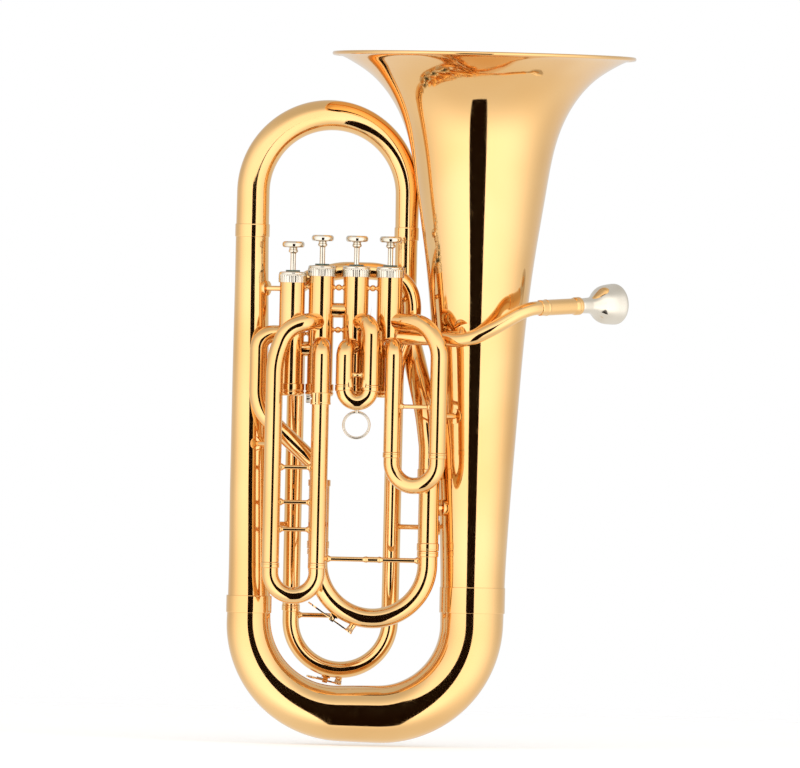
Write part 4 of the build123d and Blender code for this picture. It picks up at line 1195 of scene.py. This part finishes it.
# ---------------------------------------------------------------- small bore
@dataclass
class SmallBore:
    """Mouthpipe, valve slides and tuning slide.

    Wall is that of the fixed tubes, play the gap between an inner leg and its outer tube,
    gap the slit above a crook's collar, and lean how far the fourth slide swings back for
    each millimetre down.
    """

    valve_y: float = -22.0
    knuckle: float = 362.0
    outer: float = 8.0
    wall: float = 0.8
    inner_wall: float = 0.7
    play: float = 0.05
    gap: float = 0.3
    bow: float = 7.6
    lean: float = 0.1165
    tuning_outer: float = 9.5
    tuning_bow: float = 9.1
    exit_radius: float = 8.1
    mouthpipe_radius: float = 6.35
    ring_radius: float = 11.9
    ring_wire: float = 1.2
    ring_z: float = 293.0
    valves: tuple = (27.1, -3.9, -35.5, -62.3)
    long_bar: float = 70.0
    sides: int = 64

    def __post_init__(self) -> None:
        """Works out the places that several pieces share."""
        self.fourth_y = 4 + (self.knuckle - 126.0) * self.lean
        self.first = (vec(32.4, -46, 269), vec(74.1, -57, 269))
        self.second = (vec(-12.7, -46, 330), vec(11.3, -46, 330))
        self.third = (vec(-76.9, -47, 165.6), vec(-34.1, -47, 165.6))
        self.fourth = (vec(-57.5, self.fourth_y, 126), vec(34, self.fourth_y, 126))
        self.tuning = (vec(-33.5, self.valve_y, 178.6), vec(67.5, self.valve_y, 178.6))

    def socket(self, number: int) -> tuple[float, float]:
        """The plan position of a valve."""
        return (self.valves[number - 1], self.valve_y)

    def build(self, shop: Workshop) -> None:
        """Makes and hangs every piece of the small bore."""
        self.outer_tubes(shop)
        self.crooks(shop)
        self.leadpipe(shop)
        self.exit_tube(shop)
        self.tuning_legs(shop)
        self.cross_bars(shop)

    def outer_tubes(self, shop: Workshop) -> None:
        """The fixed legs of the four valve slides."""
        a, b = self.first
        c, d = self.second
        e, f = self.third
        g, h = self.fourth
        knee = 4 + (self.knuckle - 350) * self.lean
        # valve, then level, corners and bends of the upper leg, and the same of the lower
        plans = {
            "first": (1, 388.5, [(60, -48, 388.5), (74.1, -57, 367), tuple(b)], [28, 34],
                      366.5, [(a[0], a[1], 366.5), tuple(a)], [10.5]),
            "second": (2, 388.0, [(d[0], d[1], 388), tuple(d)], [14],
                       365.0, [(c[0], c[1], 365), tuple(c)], [10.5]),
            "third": (3, 387.0, [(-48, -46, 387), (-67, -47, 380), (e[0], e[1], 352), tuple(e)], [10, 26, 80],
                      365.5, [(f[0], f[1], 365.5), tuple(f)], [10.5]),
            "fourth": (4, 396.0, [(-62.3, 0.5, 396), (-62.3, 0.5, 414), (-50, 0.5, 427), (-18, 0, 435),
                                  (20, 0, 435), (44, 0, 425), (50.5, 0, 398), (34, knee, 350), tuple(h)],
                       [9.2, 16, 38, 60, 60, 26, 46, 60],
                       self.knuckle, [(-57.5, 4, self.knuckle), tuple(g)], [10]),
        }
        for name, (number, high, upper, upper_bends, low, lower, lower_bends) in plans.items():
            spot = self.socket(number)
            tubes = []
            for level, corners, bends in ((high, upper, upper_bends), (low, lower, lower_bends)):
                route = Route.bent([(*spot, level), *corners], bends)
                tubes.append(plain(route, self.outer, spot))
            stock = Stock()
            stock.put_mesh(shop.draw(tubes, self.wall, self.sides))
            shop.stock(f"{name}_slide_legs", stock, "horn", Slot.BRASS, f"{name}_slide_outer")

    def crook(
        self, shop: Workshop, ends: tuple, drop: float, leg: float, bow: float, outer: float, lean: float
    ) -> Stock:
        """A slide's crook: two inner legs, two collars and the bow, all in one.

        Args:
            shop: Where it is made.
            ends: Where the outer legs end, left and right.
            drop: How far below them the bow's arc begins.
            leg: Length of the inner legs above the collars.
            bow: Outside radius of the bow.
            outer: Outside radius of the outer legs.
            lean: How far it swings back for each millimetre down.

        Returns:
            The stock.
        """
        down = unit(vec(0, lean, -1))
        left, right = ends
        span = right - left
        radius = float(np.linalg.norm(span)) / 2
        start = left - down * (leg - self.gap)
        reach = drop / -down[2]
        low = left + down * reach
        route = Route().run(start, low)
        route.arc(low, down, unit(span), radius, math.pi)
        route.run(low + span, right - down * (leg - self.gap))
        inner, collar = outer - self.wall - self.play, outer + 0.4
        half = [
            (0, inner), (leg - 0.05, inner), (leg, collar - 0.3), (leg + 0.35, collar), (leg + 1.5, collar),
            (leg + 1.75, collar - 0.25), (leg + 2.0, collar), (leg + 4.7, collar), (leg + 5.0, collar - 0.35),
            (leg + 5.2, bow),
        ]
        whole = half + [(route.length - place, size) for place, size in reversed(half)]
        stock = Stock()
        stock.put_mesh(shop.draw([Tube(route, whole, fillet=0.12)], self.inner_wall, self.sides))
        return stock

    def crooks(self, shop: Workshop) -> None:
        """The five crooks that pull out, and the ring on the second."""
        plans = (
            ("tuning", self.tuning, 12.6, 50, self.tuning_bow, self.tuning_outer, 0.0, "tuning_slide"),
            ("first", self.first, 9.0, 62, self.bow, self.outer, 0.0, "first_slide"),
            ("second", self.second, 4.0, 18, self.bow, self.outer, 0.0, "second_slide"),
            ("third", self.third, 9.1, 110, self.bow, self.outer, 0.0, "third_slide"),
            ("fourth", self.fourth, 14.0, 80, self.bow, self.outer, self.lean, "fourth_slide"),
        )
        for name, ends, drop, leg, bow, outer, lean, body in plans:
            stock = self.crook(shop, ends, drop, leg, bow, outer, lean)
            shop.stock(f"{name}_crook_and_legs", stock, body, Slot.BRASS, f"{name}_crook")
        centre = (self.second[0] + self.second[1]) / 2
        start = vec(centre[0] + self.ring_radius, centre[1], self.ring_z)
        loop = Route().arc(start, UP, vec(-1, 0, 0), self.ring_radius, 2 * math.pi)
        stock = Stock()
        stock.put_mesh(shop.draw([plain(loop, self.ring_wire)], 0, 24, Slot.NICKEL))
        post = [(0, 303.6), (1.9, 303.6), (1.6, 305.0), (1.6, 305.8), (2.4, 307.2), (2.4, 307.6), (0, 307.6)]
        stock.turned(rounded(post, 0.3, 3), vec(centre[0], centre[1], 0), UP, 32)
        shop.stock("finger_pull_ring", stock, "second_slide", Slot.NICKEL, "pull_ring")

    def leadpipe(self, shop: Workshop) -> None:
        """The mouthpipe, its receiver, and the mouthpiece in it."""
        corner = vec(154, -54, 403.4)
        way = unit(vec(46, 38.6, 3.6))
        end = corner + way * 22
        spot = self.socket(1)
        route = Route.bent(
            [(*spot, 374.0), (78, -40.2, 374), (99, -55, 371.5), (124, -57, 385), tuple(corner), tuple(end)],
            [45, 40, 60, 30],
        )
        stock = Stock()
        stock.put_mesh(shop.draw([plain(route, self.mouthpipe_radius, spot)], self.wall, self.sides))
        shop.stock("mouthpipe", stock, "horn", Slot.BRASS, "leadpipe")
        stock = Stock()
        receiver = [
            (self.mouthpipe_radius, -8), (6.9, -8), (7.3, -7.2), (7.3, -1.2), (7.65, -0.7), (7.65, 0.7),
            (7.3, 1.2), (7.3, 32.6), (7.9, 33.6), (8.3, 35), (8.3, 36.6), (8.0, 36.9), (8.3, 37.2), (8.3, 40),
            (6.2, 40), (5.4, 0.2), (self.mouthpipe_radius, 0.2),
        ]
        stock.turned(rounded(receiver, 0.3, 3), end, way, self.sides, loop=True)
        shop.stock("receiver_sleeve", stock, "horn", Slot.BRASS, "mouthpiece_receiver")
        self.mouthpiece(shop, end, way)

    def mouthpiece(self, shop: Workshop, end: np.ndarray, way: np.ndarray) -> None:
        """The mouthpiece, turned in one."""
        shank = [(3.4, 10), (5.53, 10), (6.13, 39.8), (6.9, 43.0), (7.3, 52.0)]
        body = curved([(7.3, 52), (10.5, 59), (16.6, 67), (18.6, 77), (18.9, 82)], (0.2, 1), (0, 1), 40)
        rim = curved([(18.9, 82), (18.2, 84.8), (16.4, 86), (14.4, 85.1), (13.6, 83)], (0, 1), (0, -1), 24)
        cup = curved([(13.6, 83), (12.6, 70), (7.5, 60), (3.4, 53)], (-0.1, -1), (-0.3, -1), 30)
        profile = np.concatenate((rounded(shank, 0.5, 3)[:-1], body, rim[1:], cup[1:]))
        stock = Stock()
        stock.turned(profile, end, way, 96, loop=True)
        shop.stock("turned_mouthpiece", stock, "mouthpiece", Slot.NICKEL, "mouthpiece")

    def exit_tube(self, shop: Workshop) -> None:
        """From the fourth valve down to the tuning slide."""
        spot = self.socket(4)
        corners = [(*spot, 375), (-92, -27, 375), (-92, -27, 306), (-35.5, -22, 254), (-33.5, -22, 236)]
        route = Route.bent(corners, [14, 40, 16])
        stock = Stock()
        stock.put_mesh(shop.draw([plain(route, self.exit_radius, spot)], self.wall, self.sides))
        shop.stock("exit_branch", stock, "horn", Slot.BRASS, "valve_exit_tube")

    def tuning_legs(self, shop: Workshop) -> None:
        """The outer legs of the tuning slide, with mouth bands and top sleeves."""
        legs, sleeves = Stock(), Stock()
        for spot, top, sleeve, radius, snug in (
            (self.tuning[0], 236.0, 6.0, 10.3, 8.0), (self.tuning[1], 244.0, 10.0, 11.1, 10.2)
        ):
            low, bore, high = spot[2], self.tuning_outer - self.wall, top + sleeve
            profile = [
                (bore, low), (9.9, low), (10.2, low + 0.5), (10.2, low + 1.6), (10.0, low + 1.9),
                (10.2, low + 2.2), (10.2, low + 6.5), (9.9, low + 7.0), (self.tuning_outer, low + 7.1),
                (self.tuning_outer, top), (bore, top),
            ]
            legs.turned(rounded(profile, 0.2, 3), vec(spot[0], spot[1], 0), UP, 72, loop=True)
            band = [
                (snug, top), (radius - 0.3, top), (radius, top + 0.6),
                (radius, high - 0.6), (radius - 0.4, high), (snug, high),
            ]
            sleeves.turned(rounded(band, 0.25, 3), vec(spot[0], spot[1], 0), UP, 72, loop=True)
        shop.stock("tuning_slide_legs", legs, "horn", Slot.BRASS, "tuning_outer_legs")
        shop.stock("tuning_slide_sleeves", sleeves, "horn", Slot.BRASS, "tuning_ferrules")

    def bar(
        self, stock: Stock, left: np.ndarray, right: np.ndarray, radius: float, knob: float, leg: float
    ) -> None:
        """Adds a turned cross bar between two legs.

        Args:
            stock: What it is added to.
            left: A point on the left leg's axis.
            right: The point opposite, on the right leg's axis.
            radius: The bar's radius.
            knob: The knobs' radius.
            leg: The radius of the legs.
        """
        span = right - left
        length = float(np.linalg.norm(span))
        sag = leg - math.sqrt(max(leg * leg - knob * knob, 0.0))
        low = leg - min(sag + 0.25, 0.72)
        half = [
            (0, low), (knob, low), (knob, leg + 0.6), (knob - 0.5, leg + 1.5),
            (radius + 0.3, leg + 2.1), (radius, leg + 2.9),
        ]
        if length > self.long_bar:
            swell = ((0, 9), (0.5, 7.5), (0.9, 6), (0.4, 4.6))
            half += [(radius + extra, length / 2 - back) for extra, back in swell]
        outline = half + [(size, length - place) for size, place in reversed(half)]
        stock.turned(rounded(outline, 0.5, 4), left, unit(span), 40)

    def cross_bars(self, shop: Workshop) -> None:
        """The cross bars of the slides."""
        stock = Stock()
        for ends, level, radius, knob in (
            (self.first, 311.0, 2.0, 3.4), (self.third, 253.0, 2.0, 3.4), (self.third, 221.0, 2.0, 3.4),
            (self.third, 196.0, 2.0, 3.4), (self.second, 339.0, 1.8, 2.8),
        ):
            left, right = (vec(end[0], end[1], level) for end in ends)
            self.bar(stock, left, right, radius, knob, self.outer)
        shop.stock("slide_bars", stock, "horn", Slot.BRASS, "slide_stays")
        leaning = unit(vec(0, self.lean, -1)) * 9.5
        for name, node, body, ends, drop, leg in (
            ("tuning_bar", "tuning_brace", "tuning_slide", self.tuning, vec(0, 0, -9.1), self.tuning_bow),
            ("fourth_bar", "fourth_brace", "fourth_slide", self.fourth, leaning, self.bow),
        ):
            stock = Stock()
            self.bar(stock, ends[0] + drop, ends[1] + drop, 2.2, 3.4, leg)
            shop.stock(name, stock, body, Slot.BRASS, node)


# ---------------------------------------------------------------- fittings
@dataclass
class Fittings:
    """Body stays, lyre holder and water keys."""

    lyre_tube: tuple[float, float] = (-34.1, -47.0)
    lyre_socket: tuple[float, float] = (-38.7, -58.4)
    lyre_low: float = 311.0
    lyre_high: float = 322.0

    def build(self, shop: Workshop) -> None:
        """Makes and hangs the fittings."""
        shop.carried("soldered_stays", "body_stays", "horn", Slot.BRASS, 0.25)
        self.lyre_clamp(shop)
        shop.carried("lyre_thumbscrew", "lyre_screw", "lyre_screw", Slot.NICKEL, 0.15)
        for key, body in (("tuning_key", "tuning_slide"), ("fourth_key", "fourth_slide")):
            shop.carried(f"{key}_seat", f"{key}_saddle", body, Slot.BRASS, 0.15)
            shop.carried(f"{key}_arm", f"{key}_lever", key, Slot.BRASS, 0.2)
            shop.carried(f"{key}_pad", f"{key}_cork", key, Slot.CORK, 0.1)
            shop.carried(f"{key}_coil", f"{key}_spring", body, Slot.SPRING)

    def lyre_clamp(self, shop: Workshop) -> None:
        """The band round the third slide's leg, with the socket for the lyre's thumbscrew."""
        low, high = self.lyre_low, self.lyre_high
        stock = Stock()
        rings = (self.lyre_tube, 8.02, 9.3, 0.25), (self.lyre_socket, 2.0, 3.7, 0.2)
        for (x, y), bore, outer, bead in rings:
            proud = outer + bead
            profile = [
                (bore, low), (outer, low), (proud, low + 0.5), (proud, low + 1.6), (outer, low + 2.1),
                (outer, high - 2.1), (proud, high - 1.6), (proud, high - 0.5), (outer, high), (bore, high),
            ]
            stock.turned(rounded(profile, 0.3, 3), vec(x, y, 0), UP, 64, loop=True)
        shop.stock("lyre_clamp", stock, "horn", Slot.BRASS, "lyre_holder")


# ---------------------------------------------------------------- studio
@dataclass
class Studio:
    """Floor, light tent, the dark gap in it, lamps and camera.

    Lengths are in metres, apart from the floor's depth and the sensor's width, which are in
    millimetres. The tent's values and the floor's glow are strengths.
    """

    floor_radius: float = 2.4
    gap_distance: float = 0.72
    gap_half_width: float = 0.18
    gap_low: float = -0.82
    gap_high: float = 0.56
    gap_x: float = 0.01
    distance: float = 16.0
    aim: Point = (0.0385, 0.0, 0.3316)
    roll: float = math.radians(1.3)
    width: float = 0.7368
    sensor: float = 36.0
    floor_depth: float = -2.5
    floor_glow: float = 0.22
    tent_low: float = 0.68
    tent_high: float = 0.92
    tent_front: float = 0.85
    box_power: float = 7.5
    box_size: tuple[float, float] = (0.9, 1.5)

    def build(self) -> None:
        """Sets the studio up."""
        self.floor()
        self.gap()
        self.tent()
        self.lamps()
        self.camera()
        # the plain view keeps the ground white and the brass yellow
        bpy.context.scene.view_settings.view_transform = "Standard"

    def floor(self) -> None:
        """A pale round floor that fades out at its edge."""
        stock = Stock()
        edge = np.array([(0.0, self.floor_depth), (self.floor_radius / MM, self.floor_depth)])
        stock.turned(edge, vec(0, 0, 0), UP, 96)
        material = bpy.data.materials.new("pale_floor")
        material.use_nodes = True
        tree = material.node_tree
        graph, shader = Graph(tree), tree.nodes["Principled BSDF"]
        shader.inputs["Base Color"].default_value = (0.93, 0.93, 0.93, 1.0)
        shader.inputs["Emission Color"].default_value = (1.0, 1.0, 1.0, 1.0)
        shader.inputs["Emission Strength"].default_value = self.floor_glow
        shader.inputs["Roughness"].default_value = 0.7
        shader.inputs["Specular IOR Level"].default_value = 0.2
        where = graph.node("ShaderNodeTexCoord").outputs["Object"]
        far = graph.node("ShaderNodeVectorMath", {0: where}, operation="LENGTH").outputs["Value"]
        alpha = graph.ramp(far, 0.25 * self.floor_radius, 0.95 * self.floor_radius, 1.0, 0.0)
        tree.links.new(alpha, shader.inputs["Alpha"])
        ground = stock.piece("floor", material)
        ground.visible_glossy = False

    def gap(self) -> None:
        """The dark slot between the soft boxes, seen only in the polish."""
        x, low, high = self.gap_x / MM, self.gap_low / MM, self.gap_high / MM
        half, y = self.gap_half_width / MM, -self.gap_distance / MM
        stock = Stock()
        left, right = x - half, x + half
        corners = np.array([(left, y, low), (right, y, low), (right, y, high), (left, y, high)])
        stock.put(corners, [(0, 1, 2, 3)])
        material = bpy.data.materials.new("black_slot")
        material.use_nodes = True
        shader = material.node_tree.nodes["Principled BSDF"]
        shader.inputs["Base Color"].default_value = (0.012, 0.006, 0.003, 1.0)
        shader.inputs["Roughness"].default_value = 1.0
        shader.inputs["Specular IOR Level"].default_value = 0.0
        slot = stock.piece("dark_slot", material)
        slot.visible_camera = slot.visible_diffuse = slot.visible_shadow = False
        slot.visible_transmission = slot.visible_volume_scatter = False

    def tent(self) -> None:
        """The light tent: bright round the front, softer behind and overhead."""
        world = bpy.data.worlds.new("light_tent")
        bpy.context.scene.world = world
        world.use_nodes = True
        tree = world.node_tree
        tree.nodes.clear()
        graph = Graph(tree)
        way = graph.node("ShaderNodeNewGeometry").outputs["Incoming"]
        split = graph.node("ShaderNodeSeparateXYZ", {"Vector": way})
        # Incoming points back along the ray, so y grows towards the front and z grows downwards
        front = graph.ramp(split.outputs["Y"], -0.55, 0.95)
        level = graph.ramp(graph.math("ABSOLUTE", split.outputs["Z"]), 0.45, 0.97, 1.0, 0.0)
        bright = graph.math("MULTIPLY", graph.math("MULTIPLY", front, level), self.tent_front)
        base = graph.ramp(split.outputs["Z"], -0.4, 0.7, self.tent_low, self.tent_high)
        strength = graph.math("ADD", bright, base)
        seen = graph.node("ShaderNodeLightPath").outputs["Is Camera Ray"]
        lit = graph.node("ShaderNodeBackground", {"Color": (1.0, 0.985, 0.96, 1.0), "Strength": strength})
        ground = graph.node("ShaderNodeBackground", {"Color": (1.0, 1.0, 1.0, 1.0), "Strength": 1.0})
        both = graph.node("ShaderNodeMixShader", {0: seen, 1: lit.outputs[0], 2: ground.outputs[0]})
        graph.node("ShaderNodeOutputWorld", {"Surface": both.outputs[0]})

    def lamps(self) -> None:
        """Two tall soft boxes either side of the slot."""
        for name, x in (("left_box", -0.95), ("right_box", 1.05)):
            light = bpy.data.lights.new(name, "AREA")
            light.shape, light.energy = "RECTANGLE", self.box_power
            light.size, light.size_y = self.box_size
            lamp = bpy.data.objects.new(name, light)
            lamp.location = (x, -1.25, 0.45)
            lamp.visible_glossy = False
            lamp.rotation_mode = "QUATERNION"
            aim = Vector((0.02, 0, 0.32)) - lamp.location
            lamp.rotation_quaternion = aim.to_track_quat("-Z", "Y")
            bpy.context.scene.collection.objects.link(lamp)

    def camera(self) -> None:
        """A long lens, level with the middle of the horn."""
        lens = bpy.data.cameras.new("long_lens")
        lens.sensor_width = self.sensor
        lens.lens = self.sensor * self.distance / self.width
        lens.clip_end = 100.0
        camera = bpy.data.objects.new("long_lens", lens)
        camera.location = (self.aim[0], -self.distance, self.aim[2])
        camera.rotation_euler = (math.pi / 2, -self.roll, 0.0)
        bpy.context.scene.collection.objects.link(camera)
        bpy.context.scene.camera = camera


def main() -> None:
    """Builds every part in order."""
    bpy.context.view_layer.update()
    shop = Workshop(make_finishes())
    for part in (BigBore(), ValveBlock(), SmallBore(), Fittings()):
        log.info("building %s", type(part).__name__)
        part.build(shop)
    Studio().build()


if __name__ == "__main__":
    main()
